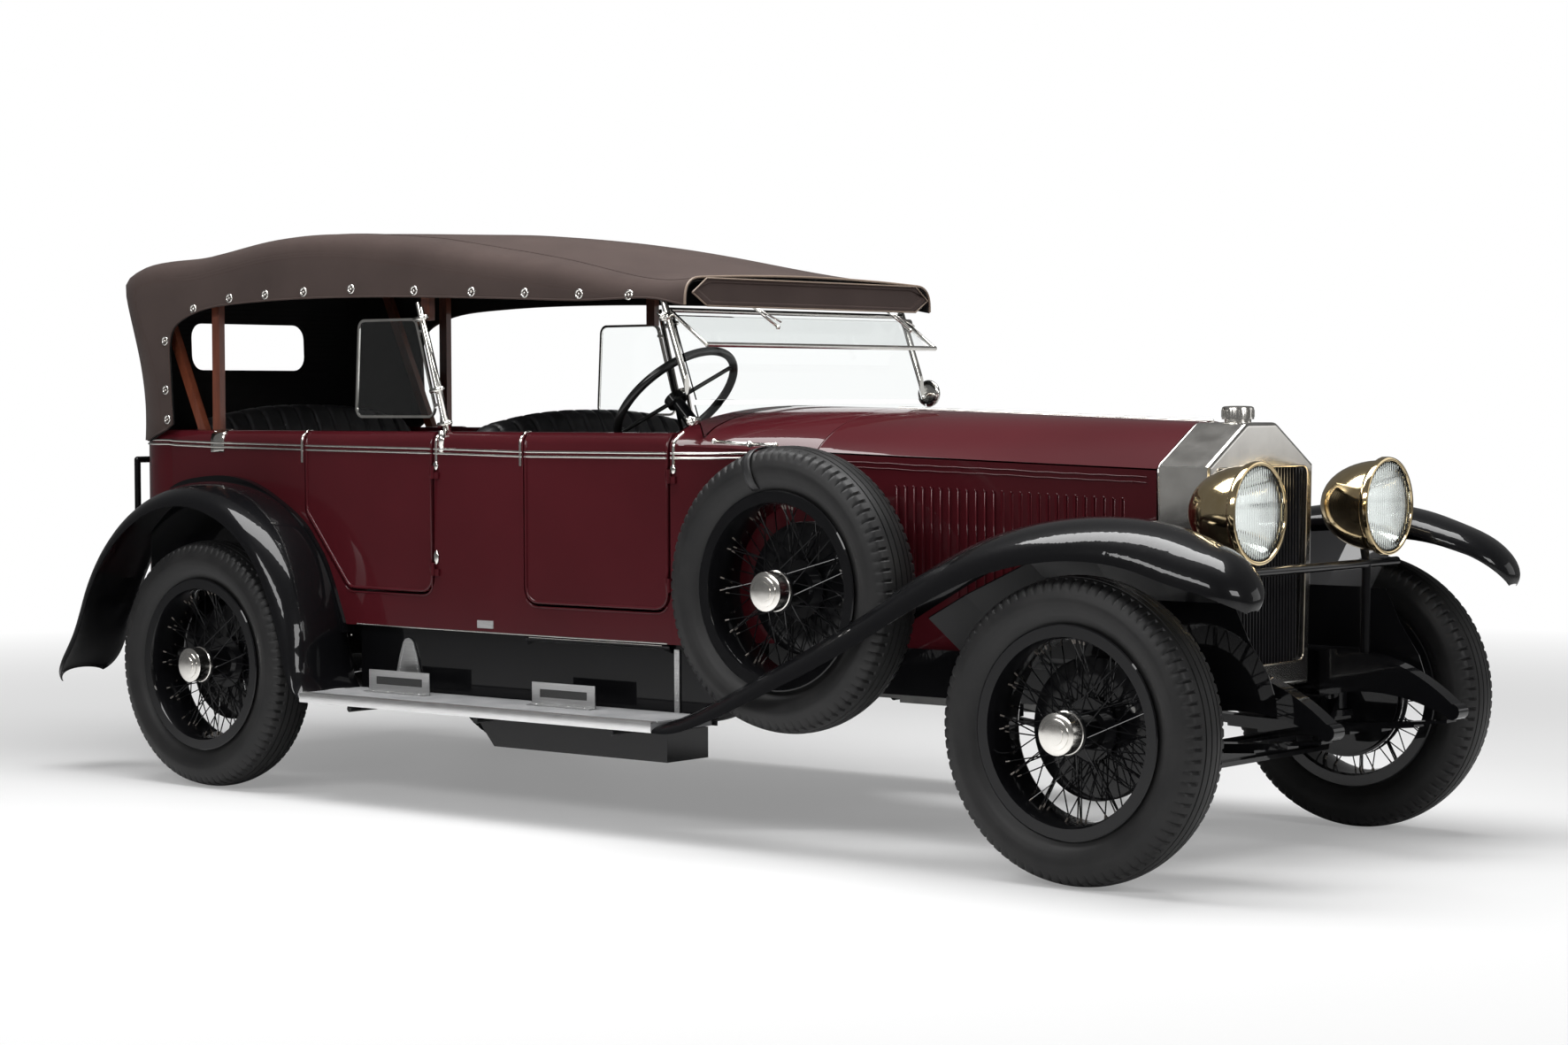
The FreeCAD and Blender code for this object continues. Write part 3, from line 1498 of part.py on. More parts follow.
def path_normal(path, index):
    before = path[max(index - 1, 0)]
    after = path[min(index + 1, len(path) - 1)]
    dx = after[0] - before[0]
    dz = after[1] - before[1]
    length = math.hypot(dx, dz)
    return (-dz / length, dx / length)


def fender(origin_x, reach, low_z, high_z, shares, poles, rise):
    path = [(origin_x + reach * along, blend(low_z, high_z, up)) for along, up, _, _, _ in shares]
    sections = []
    for index, (_, _, rise_share, inner_share, outer_share) in enumerate(shares):
        x, z = path[index]
        y_inner = blend(fender_inner_y, fender_outer_y, inner_share)
        y_outer = blend(fender_inner_y, fender_outer_y, outer_share)
        sections.append(fender_section(x, z, path_normal(path, index), y_inner, y_outer, poles,
                                       rise * rise_share, fender_skin))
    return Part.makeLoft(sections, True, False)


def spare_well():
    x = ahead_front(-spare_behind)
    half = tyre_width / 2 + spare_clearance
    base = Vector(x, spare_y - half, spare_z)
    return Part.makeCylinder(tyre_radius + spare_clearance, 2 * half, base, ALONG_Y)


def save_front_fenders():
    low = board_top_z - board_thickness + rest_gap
    shape = fender(front_axle_x, front_fender_reach, low, front_lip_top_z, front_lip_shares,
                   front_fender_pole_shares, front_fender_rise)
    shape = shape.cut(board_room())
    right = mirrored(shape).cut(spare_well())
    save("front_fenders", [right, shape])


def rear_fender_skirt():
    # the upright sheet that closes the arch from the crowned wing in to the body's side
    curve = Part.BSplineCurve()
    points = []
    for along, up in rear_skirt_shares:
        x = ahead_rear(rear_fender_reach * along)
        points.append(Vector(x, rear_skirt_y, blend(board_top_z, rear_skirt_top_z, up)))
    curve.interpolate(points)
    low = rear_skirt_low_z
    first = points[0]
    last = points[-1]
    edges = [
        curve.toShape(),
        Part.LineSegment(last, Vector(last.x, last.y, low)).toShape(),
        Part.LineSegment(Vector(last.x, last.y, low), Vector(first.x, first.y, low)).toShape(),
        Part.LineSegment(Vector(first.x, first.y, low), first).toShape(),
    ]
    return Part.Face(Part.Wire(edges)).extrude(Vector(0, -rear_skirt_depth, 0))


def save_rear_fenders():
    low = board_top_z - board_thickness + rest_gap
    shape = fender(rear_axle_x, rear_fender_reach, low, rear_lip_top_z, rear_lip_shares,
                   rear_fender_pole_shares, rear_fender_rise)
    shape = fuse([shape, rear_fender_skirt()])
    shape = shape.cut(body_block(-rest_gap, body_bottom_z - rest_gap, body_top_z)).cut(board_room())
    door = prism_y(rear_door_outline(-door_gap), 0, fender_outer_y)
    shape = shape.cut(door)
    save("rear_fenders", both_sides(max(shape.Solids, key=lambda solid: solid.Volume)))


def board_room():
    # all that stands over the running board, so that its top stays clear
    room = board_block(rest_gap)
    return fuse([room, room.translated(Vector(0, 0, board_room_height))])


def board_block(extra):
    # the running board's plain block on the left, larger by the extra all round
    front = ahead_front(-front_fender_reach) - rest_gap
    rear = ahead_rear(rear_fender_reach * rear_lip_shares[-1][0]) + rest_gap
    return box(rear - extra, front + extra, board_inner_y - extra, fender_outer_y + extra,
               board_top_z - board_thickness - extra, board_top_z + extra)


def save_running_boards():
    board = board_block(0)
    long_edges = [edge for edge in board.Edges
                  if edge.BoundBox.XLength > board_thickness and edge.BoundBox.YMin > board_inner_y + overrun]
    board = board.makeFillet(board_edge_round, long_edges)
    save("running_boards", both_sides(board))


def save_valances():
    # upright black sheets from the running boards up to the body
    front = ahead_front(-front_fender_reach) + overrun
    rear = ahead_rear(rear_fender_reach * rear_lip_shares[-1][0])
    inner = board_inner_y - rest_gap - valance_thickness
    plate = box(rear, front, inner, inner + valance_thickness, board_top_z - board_thickness,
                body_bottom_z - rest_gap)
    save("valances", both_sides(plate))


def lip_place(share):
    # where the front fender's lip runs at this share of its reach
    low = board_top_z - board_thickness + rest_gap
    for before, after in zip(front_lip_shares, front_lip_shares[1:]):
        if before[0] <= share <= after[0]:
            part = (share - before[0]) / (after[0] - before[0])
            height = blend(before[1], after[1], part)
            return ahead_front(front_fender_reach * share), blend(low, front_lip_top_z, height)
    return ahead_front(front_fender_reach * share), low


def apron_section(share):
    # from the rail's outer face out to the fender's inner edge
    x, lip_z = lip_place(share)
    rail_y = rail_front_y + rail_flange / 2 + rest_gap
    fender_z = lip_z + front_fender_rise * apron_seat_share
    crest = min(apron_high_z, fender_z - apron_y * apron_crest_share)
    outer = [(rail_y, apron_low_z), (apron_y, frame_top_z), (apron_y, crest),
             (fender_inner_y - rest_gap, fender_z)]
    inner = [(y, z + apron_thickness) for y, z in reversed(outer[1:])]
    inner = inner[:1] + [(y - apron_thickness, z) for y, z in inner[1:]]
    points = outer + inner + [(rail_y, frame_top_z - apron_thickness)]
    return closed_wire([Vector(x, y, z) for y, z in points])


def apron_nose():
    # the upright plate ahead of the springs, from under the fender down to the dumb iron
    outline = [(ahead_front(apron_nose_reach * along), blend(apron_nose_low_z, apron_high_z, up))
               for along, up in apron_nose_shares]
    return prism_y(outline, apron_y - apron_thickness, apron_y)


def save_aprons():
    # sheets that close the gap between the frame and the front fenders
    sections = [apron_section(share) for share in apron_shares]
    sheet = fuse([Part.makeLoft(sections, True, True), apron_nose()])
    bar = cross_member(ahead_front(lamp_bar_ahead), lamp_bar_half + overrun, lamp_bar_z,
                       lamp_bar_radius + rest_gap)
    save("aprons", both_sides(sheet.cut(bar)))


# Windscreen

def screen_x(z):
    # the posts lean back as they rise
    share = (z - screen_base_z) / (screen_top_z - screen_base_z)
    return ahead_front(-screen_behind) - screen_rake * share


def screen_bar(z, half):
    return rod(Vector(screen_x(z), -half, z), Vector(screen_x(z), half, z), screen_frame / 2)


def save_windscreen():
    pieces = []
    half = screen_half_width
    under_hood = hood_block(hood_thickness + rest_gap, -hood_thickness - rest_gap, body_bottom_z)
    for side in (RIGHT, LEFT):
        low_z = screen_base_z - screen_post_foot
        high_z = screen_top_z + screen_post_head
        post = rod(Vector(screen_x(low_z), side * half, low_z),
                   Vector(screen_x(high_z), side * half, high_z), screen_post_radius)
        pieces.append(post.common(under_hood))
    pieces.append(screen_bar(screen_top_z - screen_frame, half))
    pieces.append(screen_bar(screen_bar_z, half))
    hinge_z = screen_top_z - visor_hinge_drop
    low_z = hinge_z - visor_drop
    low_x = screen_x(hinge_z) + visor_out
    inner_half = half - screen_frame
    start_x = screen_x(hinge_z)
    for side in (RIGHT, LEFT):
        pieces.append(rod(Vector(screen_x(screen_top_z - screen_frame), side * inner_half,
                                 screen_top_z - screen_frame),
                          Vector(low_x, side * inner_half, low_z), visor_arm_radius))
    pieces.append(rod(Vector(low_x, -inner_half, low_z), Vector(low_x, inner_half, low_z), screen_frame / 2))
    scuttle_rear = ahead_front(-body_shoulder_front)
    scuttle_front = ahead_front(-scuttle_front_behind)
    scuttle = scuttle_block(-rest_gap, scuttle_front, scuttle_rear, body_bottom_z)
    frame = fuse(pieces).cut(scuttle)
    save("windscreen_frame", [max(frame.Solids, key=lambda solid: solid.Volume)])

    panes = []
    lower_top = screen_bar_z - screen_frame / 2 - rest_gap
    lower_low = screen_base_z - screen_frame
    lower = [(screen_x(lower_top) - glass_thickness / 2, lower_top),
             (screen_x(lower_top) + glass_thickness / 2, lower_top),
             (screen_x(lower_low) + glass_thickness / 2, lower_low),
             (screen_x(lower_low) - glass_thickness / 2, lower_low)]
    lower_half = half - screen_post_radius - rest_gap
    pane_half = inner_half - screen_frame / 2 - rest_gap
    panes.append(prism_y(lower, -lower_half, lower_half).cut(scuttle))
    upper_low = screen_bar_z + screen_frame / 2 + rest_gap
    upper_top = screen_top_z - screen_frame * 3 / 2 - rest_gap
    upper = [(screen_x(upper_top) - glass_thickness / 2, upper_top),
             (screen_x(upper_top) + glass_thickness / 2, upper_top),
             (screen_x(upper_low) + glass_thickness / 2, upper_low),
             (screen_x(upper_low) - glass_thickness / 2, upper_low)]
    panes.append(prism_y(upper, -pane_half, pane_half))
    lens_x = ahead_front(lamp_front_ahead) - lens_setback
    for side in (RIGHT, LEFT):
        lens_radius = lamp_radius - lamp_hollow_inset - lens_edge_gap
        centre = Vector(lens_x, side * lamp_y, lamp_z)
        panes.append(Part.makeCylinder(lens_radius, lens_thickness, centre, ALONG_X))
    panes += both_sides(wing_pane(rear_wing_outline()))
    visor = [(start_x + glass_thickness, hinge_z), (low_x - screen_frame, low_z + screen_frame / 2),
             (low_x - screen_frame, low_z + screen_frame / 2 - glass_thickness),
             (start_x + glass_thickness, hinge_z - glass_thickness)]
    panes.append(prism_y(visor, -pane_half, pane_half))
    save("glass_panes", panes)


def tonneau_post_x(z):
    share = (z - hood_bottom_z) / (tonneau_post_top_z - hood_bottom_z)
    return ahead_rear(tonneau_post_ahead) - tonneau_post_lean * share


def rear_wing_outline():
    # a glass wing behind each post between the doors
    low = body_top_z + rear_wing_lift
    high = tonneau_post_top_z - rear_wing_drop
    near = screen_post_radius + wing_frame
    tail = tonneau_post_x(low) - rear_wing_length
    return [(tonneau_post_x(high) - near, high), (tail + wing_frame_inset, high), (tail, low),
            (tonneau_post_x(low) - near, low)]


def shrunk(outline, inset):
    centre_x = sum(x for x, _ in outline) / len(outline)
    centre_z = sum(z for _, z in outline) / len(outline)
    return [(x - math.copysign(inset, x - centre_x), z - math.copysign(inset, z - centre_z))
            for x, z in outline]


def rounded_plate(outline, half_thickness, corner):
    # a flat plate in the wings' plane, with round corners
    plate = prism_y(outline, screen_half_width - half_thickness, screen_half_width + half_thickness)
    across = [edge for edge in plate.Edges
              if edge.BoundBox.XLength < rest_gap and edge.BoundBox.ZLength < rest_gap]
    return plate.makeFillet(corner, across)


def wing_ring(outline):
    outer = rounded_plate(outline, wing_frame / 2, wing_round)
    return outer.cut(rounded_plate(shrunk(outline, wing_frame), wing_frame, wing_round - wing_frame))


def wing_pane(outline):
    inset = wing_frame + rest_gap
    return rounded_plate(shrunk(outline, inset), glass_thickness / 2, wing_round - inset)


def save_side_screens():
    rear = wing_ring(rear_wing_outline())
    foot_y = body_half_width - body_wall + tonneau_post_radius
    foot = Vector(tonneau_post_x(hood_bottom_z), foot_y, hood_bottom_z)
    top = Vector(tonneau_post_x(tonneau_post_top_z), screen_half_width, tonneau_post_top_z)
    post = rod(foot, top, tonneau_post_radius)
    arms = []
    low_clip_z = body_top_z + rear_wing_lift + wing_clip_inset
    high_clip_z = tonneau_post_top_z - rear_wing_drop - wing_clip_inset
    for z in (low_clip_z, high_clip_z):
        x = tonneau_post_x(z)
        arms.append(box(x - rear_wing_clip_length, x, screen_half_width - wing_frame_inset,
                        screen_half_width + wing_frame / 2, z - wing_frame / 2, z + wing_frame / 2))
    rear_wing = fuse([rear, post] + arms)
    top = hood_block(hood_thickness + rest_gap, overrun, hood_bottom_z)
    save("side_screens", both_sides(rear_wing.common(top)))


# Hood

def roof_section(x, half, shoulder_z, crown_z, low_z, corner):
    # upright sides, rounded shoulders and a low crown
    def at(y, z):
        return Vector(x, y, z)

    def shoulder(side):
        path = Part.BezierCurve()
        path.setPoles([at(side * half, shoulder_z - corner), at(side * half, shoulder_z),
                       at(side * (half - corner), shoulder_z + (crown_z - shoulder_z) * roof_roll_share)])
        return path.toShape()

    left = shoulder(LEFT)
    right = shoulder(RIGHT)
    crown = Part.Arc(right.Vertexes[1].Point, at(0, crown_z), left.Vertexes[1].Point).toShape()
    edges = [
        Part.LineSegment(at(-half, low_z), at(-half, shoulder_z - corner)).toShape(),
        right,
        crown,
        left,
        Part.LineSegment(at(half, shoulder_z - corner), at(half, low_z)).toShape(),
        Part.LineSegment(at(half, low_z), at(-half, low_z)).toShape(),
    ]
    return Part.Wire(Part.sortEdges(edges)[0])


def roof_block(inset, front_extra, low_z, side_inset):
    tail = ahead_rear(-hood_tail)
    front = ahead_front(-hood_front_behind)
    sections = []
    for along, crown_share, shoulder_share in roof_shares:
        x = blend(tail, front, along)
        if along == 0.0:
            x -= overrun
        if along == 1.0:
            x += front_extra
        crown = blend(hood_bottom_z, hood_peak_z, crown_share) - inset
        shoulder = blend(hood_bottom_z, hood_peak_z, shoulder_share) - inset
        sections.append(roof_section(x, hood_half_width - inset - side_inset, shoulder, crown, low_z,
                                     hood_shoulder_round - inset))
    return Part.makeLoft(sections, True, False)


def tail_block(inset):
    # the hood's plan at several heights: drawn in over the body's round tail, squarer at the top
    sections = []
    front = ahead_front(-hood_front_behind) + 2 * overrun
    for height, tail_share, corner_share in hood_tail_shares:
        z = blend(hood_low_z, hood_peak_z, height)
        tail = ahead_rear(-hood_tail * tail_share) + inset
        corner = hood_corner_tail * corner_share - inset
        half = hood_half_width - inset

        def at(x, y):
            return Vector(x, y, z)

        knee = corner * quarter_arc_share
        edges = [
            Part.LineSegment(at(front, half), at(tail + corner, half)).toShape(),
            Part.Arc(at(tail + corner, half), at(tail + knee, half - knee),
                     at(tail, half - corner)).toShape(),
            Part.LineSegment(at(tail, half - corner), at(tail, corner - half)).toShape(),
            Part.Arc(at(tail, corner - half), at(tail + knee, knee - half),
                     at(tail + corner, -half)).toShape(),
            Part.LineSegment(at(tail + corner, -half), at(front, -half)).toShape(),
            Part.LineSegment(at(front, -half), at(front, half)).toShape(),
        ]
        sections.append(Part.Wire(edges))
    return Part.makeLoft(sections, True, False)


def hood_block(inset, front_extra, low_z, side_inset=0):
    roof = roof_block(inset, front_extra, low_z, side_inset)
    return roof.common(tail_block(inset))


def hood_opening():
    # all below the canvas's lower edge, which curves round the rear quarter
    half = hood_half_width + overrun
    curve = Part.BSplineCurve()
    points = [Vector(ahead_rear(wheelbase * along), -half, blend(hood_bottom_z, hood_peak_z, up))
              for along, up in hood_edge_shares]
    curve.interpolate(points)
    corner = Vector(ahead_rear(-hood_corner_tail), -half, hood_low_z)
    floor = hood_low_z - overrun
    first = points[0]
    last = points[-1]
    edges = [
        Part.LineSegment(Vector(corner.x, corner.y, floor), corner).toShape(),
        Part.LineSegment(corner, first).toShape(),
        curve.toShape(),
        Part.LineSegment(last, Vector(last.x, last.y, floor)).toShape(),
        Part.LineSegment(Vector(last.x, last.y, floor), Vector(corner.x, corner.y, floor)).toShape(),
    ]
    return Part.Face(Part.Wire(edges)).extrude(Vector(0, 2 * half, 0))


def save_hood():
    outer = hood_block(0, 0, hood_low_z)
    inner = hood_block(hood_thickness, -hood_thickness, hood_low_z - overrun)
    shell = outer.cut(inner).cut(hood_opening())
    shell = shell.cut(body_block(-rest_gap, body_bottom_z, body_top_z + rest_gap))
    tail = ahead_rear(-hood_tail)
    window_low = blend(hood_bottom_z, hood_peak_z, rear_window_low_share)
    window_high = blend(hood_bottom_z, hood_peak_z, rear_window_high_share)
    window = box(tail - overrun, tail + hood_thickness + 2 * overrun, -rear_window_half, rear_window_half,
                 window_low, window_high)
    upright = [edge for edge in window.Edges if edge.BoundBox.XLength > hood_thickness]
    window = window.makeFillet((window_high - window_low) * rear_window_corner_share, upright)
    shell = shell.cut(window)
    save("hood_canopy", [max(shell.Solids, key=lambda solid: solid.Volume)])


def bow(foot_share, top_share, low_z):
    # one bent-wood hoop, leaning from its foot on the body to the roof it carries
    foot_x = ahead_rear(wheelbase * foot_share)
    top_x = ahead_rear(wheelbase * top_share)
    half = bow_depth / 2
    outline = [(foot_x - half, low_z), (foot_x + half, low_z), (top_x + half, hood_peak_z),
               (top_x - half, hood_peak_z)]
    slab = prism_y(outline, -hood_half_width, hood_half_width)
    inset = hood_thickness + rest_gap
    outside = hood_block(inset, overrun, hood_bottom_z, bow_side_inset)
    inside = hood_block(inset + bow_thickness, overrun, hood_bottom_z - overrun, bow_side_inset)
    return slab.common(outside.cut(inside))


def save_bows():
    # two hoops stand on the body; the third lies over the posts between the doors
    hoops = [bow(foot, top, hood_bottom_z) for foot, top in bow_shares]
    hoops.append(bow(roof_bow_share, roof_bow_share, tonneau_post_top_z - roof_bow_drop))
    save("hood_bows", hoops)


# Seats

def seat(back_x, front_x, low_z, cushion_z, top_z, half):
    foot_x = back_x + seat_back_thickness * seat_foot_share
    head_x = back_x + seat_back_thickness * seat_head_share
    outline = [(back_x, low_z), (front_x, low_z), (front_x, cushion_z), (foot_x, cushion_z - overrun),
               (head_x, top_z), (back_x, top_z)]
    shape = prism_y(outline, -half, half)
    edges = [edge for edge in shape.Edges
             if edge.BoundBox.YLength > half and edge.BoundBox.ZMin > low_z + overrun]
    return shape.makeFillet(seat_edge_round, edges)


def save_seats():
    front = seat(ahead_front(-front_seat_back_behind), ahead_front(-front_seat_front_behind),
                 floor_z + floor_thickness + rest_gap, cushion_top_z, front_seat_top_z,
                 body_half_width - body_wall - seat_side_gap)
    rear = seat(ahead_rear(rear_seat_back_ahead), ahead_rear(rear_seat_front_ahead),
                rear_floor_z + floor_thickness + rest_gap, rear_cushion_top_z, rear_seat_top_z,
                body_rear_half_width - body_wall - seat_side_gap)
    save("front_seat", [front])
    save("rear_seat", [rear])


# Steering

def column_line():
    lean = math.radians(helm_rake)
    top = Vector(ahead_front(-helm_behind), helm_y, helm_z)
    run = Vector(math.cos(lean), 0, -math.sin(lean))
    return top, top.add(run.multiply(column_length))


def steering_gear(extra):
    # the box at the column's foot, inside the right rail
    _, foot = column_line()
    half = steering_box_half + extra
    inner_y = -rail_front_y + rail_flange / 2 + rest_gap
    return box(foot.x - half, foot.x + half, inner_y - extra, inner_y + steering_box_width + extra,
               foot.z - half, foot.z + half)


def save_steering():
    top, foot = column_line()
    run = foot.sub(top).normalize()
    ring = Part.makeTorus(helm_radius, helm_rim_radius, ORIGIN, ALONG_Z)
    hub = Part.makeCylinder(helm_hub_radius, 2 * helm_rim_radius, Vector(0, 0, -helm_rim_radius))
    spokes = []
    for index in range(helm_spokes):
        angle = 2 * math.pi * (index + 0.5) / helm_spokes
        tip = Vector(math.cos(angle), math.sin(angle), 0).multiply(helm_radius)
        spokes.append(rod(ORIGIN, tip, helm_rim_radius / 2))
    helm = fuse([ring, hub] + spokes)
    helm.Placement = FreeCAD.Placement(top, FreeCAD.Rotation(ALONG_Z, run))
    save("steering_wheel", [helm])
    start = top.add(Vector(run).multiply(helm_rim_radius + rest_gap))
    gear = steering_gear(0)
    room = gear.BoundBox
    rail = box(room.XMin - overrun, room.XMax + overrun, -rail_rear_y, room.YMin, 0, frame_top_z + rest_gap)
    save("steering_column", [fuse([rod(start, foot, column_radius), gear]).cut(rail)])


def save_spare_carrier():
    # an arm from the rail to the spare's hub
    x = ahead_front(-spare_behind)
    hub_end = spare_y + drum_inner_place - hub_flange_place
    start = Vector(x, -rail_front_y - rail_flange / 2 - rest_gap, frame_top_z - rail_height / 2)
    path = [start, Vector(x, -apron_y, start.z), Vector(x, spare_y + drum_inner_place + overrun, spare_z),
            Vector(x, hub_end, spare_z)]
    arm = tube_path(path[:3], stub_radius)
    stub = rod(path[2], path[3], stub_radius - rest_gap)
    flange = rod(path[2], Vector(x, spare_y + drum_inner_place + rest_gap, spare_z), hub_radius)
    save("spare_carrier", [fuse([arm, stub, flange])])


def save_dashboard():
    rear = ahead_front(-dash_behind)
    half = body_half_width
    board = box(rear, rear + dash_thickness, -half, half, dash_low_z, scuttle_top_z)
    scuttle_rear = ahead_front(-body_shoulder_front)
    scuttle_front = ahead_front(-scuttle_front_behind)
    inside = scuttle_block(body_wall + rest_gap, scuttle_front, scuttle_rear, body_bottom_z)
    top, foot = column_line()
    save("dashboard", [board.common(inside).cut(rod(top, foot, column_radius + rest_gap))])


# Box under the frame

def save_under_box():
    # a sheet-metal box on the right, hung from the rail by two straps
    rear = ahead_front(-under_box_rear_behind)
    front = ahead_front(-under_box_front_behind)
    outline = [(rear, under_box_high_z), (rear + under_box_slope, under_box_low_z), (front, under_box_low_z),
               (front, under_box_high_z)]
    pieces = [prism_y(outline, -under_box_outer_y, -under_box_inner_y)]
    for share in under_box_strap_shares:
        x = blend(rear, front, share)
        pieces.append(box(x - under_box_strap / 2, x + under_box_strap / 2, -rail_rear_y - valance_thickness,
                          -rail_rear_y, under_box_low_z, frame_top_z - rail_height - rest_gap))
    save("under_box", [fuse(pieces)])


# Rack

def save_rack():
    x = ahead_rear(-rack_tail)
    half = rack_half_width
    pieces = []
    corners = [Vector(x, -half, rack_low_z), Vector(x, -half, rack_top_z), Vector(x, half, rack_top_z),
               Vector(x, half, rack_low_z)]
    pieces.append(tube_path(corners + [corners[0]], rack_radius))
    for corner in corners:
        pieces.append(Part.makeSphere(rack_radius, corner))
    for index in range(rack_slats):
        y = half * (2 * (index + 1) / (rack_slats + 1) - 1)
        pieces.append(rod(Vector(x, y, rack_low_z), Vector(x, y, rack_top_z), rack_radius / 2))
    for side in (RIGHT, LEFT):
        y = side * rail_rear_y
        start = Vector(ahead_rear(-frame_tail) - rest_gap, y, rack_low_z)
        pieces.append(rod(start, Vector(x, y, rack_low_z), rack_radius))
    save("luggage_rack", [fuse(pieces)])


def main():
    os.makedirs("parts", exist_ok=True)
    save_wheels()
    save_chassis()
    save_front_axle()
    save_rear_axle()
    save_steering_links()
    save_engine()
    save_exhaust()
    save_fuel_tank()
    save_body()
    save_scuttle()
    save_bonnet()
    save_radiator()
    save_lamps()
    save_front_fenders()
    save_rear_fenders()
    save_running_boards()
    save_valances()
    save_aprons()
    save_windscreen()
    save_hood()
    save_seats()
    save_steering()
    save_dashboard()
    save_rack()
    save_side_screens()
    save_bows()
    save_spare_carrier()
    save_under_box()


main()
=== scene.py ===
import json
import math
import bpy
import bmesh
from mathutils import Matrix, Vector
from mathutils.bvhtree import BVHTree


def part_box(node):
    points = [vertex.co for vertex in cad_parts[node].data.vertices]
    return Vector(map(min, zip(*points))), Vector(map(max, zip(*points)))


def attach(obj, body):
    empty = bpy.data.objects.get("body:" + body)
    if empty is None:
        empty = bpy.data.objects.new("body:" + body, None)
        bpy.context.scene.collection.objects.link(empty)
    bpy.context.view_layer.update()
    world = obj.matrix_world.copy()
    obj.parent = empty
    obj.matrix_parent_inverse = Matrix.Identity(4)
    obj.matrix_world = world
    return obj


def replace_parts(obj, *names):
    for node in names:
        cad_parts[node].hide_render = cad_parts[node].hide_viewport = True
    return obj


# Looks of the 1920s touring car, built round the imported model. Metres, in the model's own frame:
# +X to the nose, +Y to the car's left, +Z up, origin on the ground at the middle of the box.

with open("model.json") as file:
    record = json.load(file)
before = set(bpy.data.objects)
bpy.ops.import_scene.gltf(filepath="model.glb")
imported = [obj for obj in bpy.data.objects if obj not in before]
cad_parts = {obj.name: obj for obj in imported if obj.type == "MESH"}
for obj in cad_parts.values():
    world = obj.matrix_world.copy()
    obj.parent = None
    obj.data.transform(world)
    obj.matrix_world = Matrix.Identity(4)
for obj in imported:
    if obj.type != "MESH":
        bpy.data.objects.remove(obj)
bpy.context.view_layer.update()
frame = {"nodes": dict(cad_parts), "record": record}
nodes = frame["nodes"]

RIGHT = -1
LEFT = 1
SIDES = (RIGHT, LEFT)
along_x = Vector((1, 0, 0))
along_y = Vector((0, 1, 0))
along_z = Vector((0, 0, 1))

# Places shared by several pieces
front_axle_x = 1.9785
rear_axle_x = -1.7215
axle_z = 0.437
wheel_y = 0.790
spare_place = (front_axle_x - 1.092, -0.740, 0.790)

# Camera, worked out from the photograph's vanishing lines and the wheels
camera_place = Vector((6.8922, -8.0173, 1.3659))
camera_yaw = math.radians(39.655)
camera_pitch = math.radians(2.256)
camera_roll = math.radians(-0.176)
focal_pixels = 3524.8
picture_width_pixels = 1772
sensor_width = 36.0
view_distance = 200.0


def add_camera():
    data = bpy.data.cameras.new("photo_camera")
    camera = bpy.data.objects.new("photo_camera", data)
    bpy.context.scene.collection.objects.link(camera)
    forward = Vector((-math.sin(camera_yaw) * math.cos(camera_pitch),
                      math.cos(camera_yaw) * math.cos(camera_pitch), -math.sin(camera_pitch)))
    level = Vector((math.cos(camera_yaw), math.sin(camera_yaw), 0))
    raised = level.cross(forward)
    right = level * math.cos(camera_roll) + raised * math.sin(camera_roll)
    up = raised * math.cos(camera_roll) - level * math.sin(camera_roll)
    turn = Matrix((right, up, -forward)).transposed()
    camera.matrix_world = Matrix.Translation(camera_place) @ turn.to_4x4()
    data.sensor_width = sensor_width
    data.lens = focal_pixels * sensor_width / picture_width_pixels
    data.clip_end = view_distance
    bpy.context.scene.camera = camera


add_camera()


# Materials

ramp_shares = (0.3, 0.7)


def add_node(tree, kind, values=None, links=None, **settings):
    # a shader node with its own settings, its plain values and the sockets that feed it
    node = tree.nodes.new("ShaderNode" + kind)
    for name, value in settings.items():
        setattr(node, name, value)
    for name, value in (values or {}).items():
        node.inputs[name].default_value = value
    for name, source in (links or {}).items():
        tree.links.new(source, node.inputs[name])
    return node


def object_place(tree):
    return add_node(tree, "TexCoord").outputs["Object"]


def noise(tree, scale, detail=3.0, roughness=0.5, stretch=None):
    place = object_place(tree)
    if stretch is not None:
        place = add_node(tree, "Mapping", {"Scale": stretch}, {"Vector": place}).outputs["Vector"]
    values = {"Scale": scale, "Detail": detail, "Roughness": roughness}
    return add_node(tree, "TexNoise", values, {"Vector": place}).outputs["Fac"]


def new_material(name, values):
    # a Principled material with these plain values
    material = bpy.data.materials.new(name)
    material.use_nodes = True
    shader = material.node_tree.nodes["Principled BSDF"]
    for socket, value in values.items():
        shader.inputs[socket].default_value = value
    return material, material.node_tree, shader


def colour(tree, shader, pattern, dark, light):
    node = add_node(tree, "ValToRGB", links={"Fac": pattern})
    for index, (share, tone) in enumerate(zip(ramp_shares, (dark, light))):
        node.color_ramp.elements[index].position = share
        node.color_ramp.elements[index].color = tone + (1,)
    tree.links.new(node.outputs["Color"], shader.inputs["Base Color"])


def polish(tree, shader, pattern, low, high):
    # roughness that wanders between the two values
    node = add_node(tree, "MapRange", {"To Min": low, "To Max": high}, {"Value": pattern})
    tree.links.new(node.outputs["Result"], shader.inputs["Roughness"])


def bump(tree, shader, height, strength, distance):
    node = add_node(tree, "Bump", {"Strength": strength, "Distance": distance}, {"Height": height})
    tree.links.new(node.outputs["Normal"], shader.inputs["Normal"])


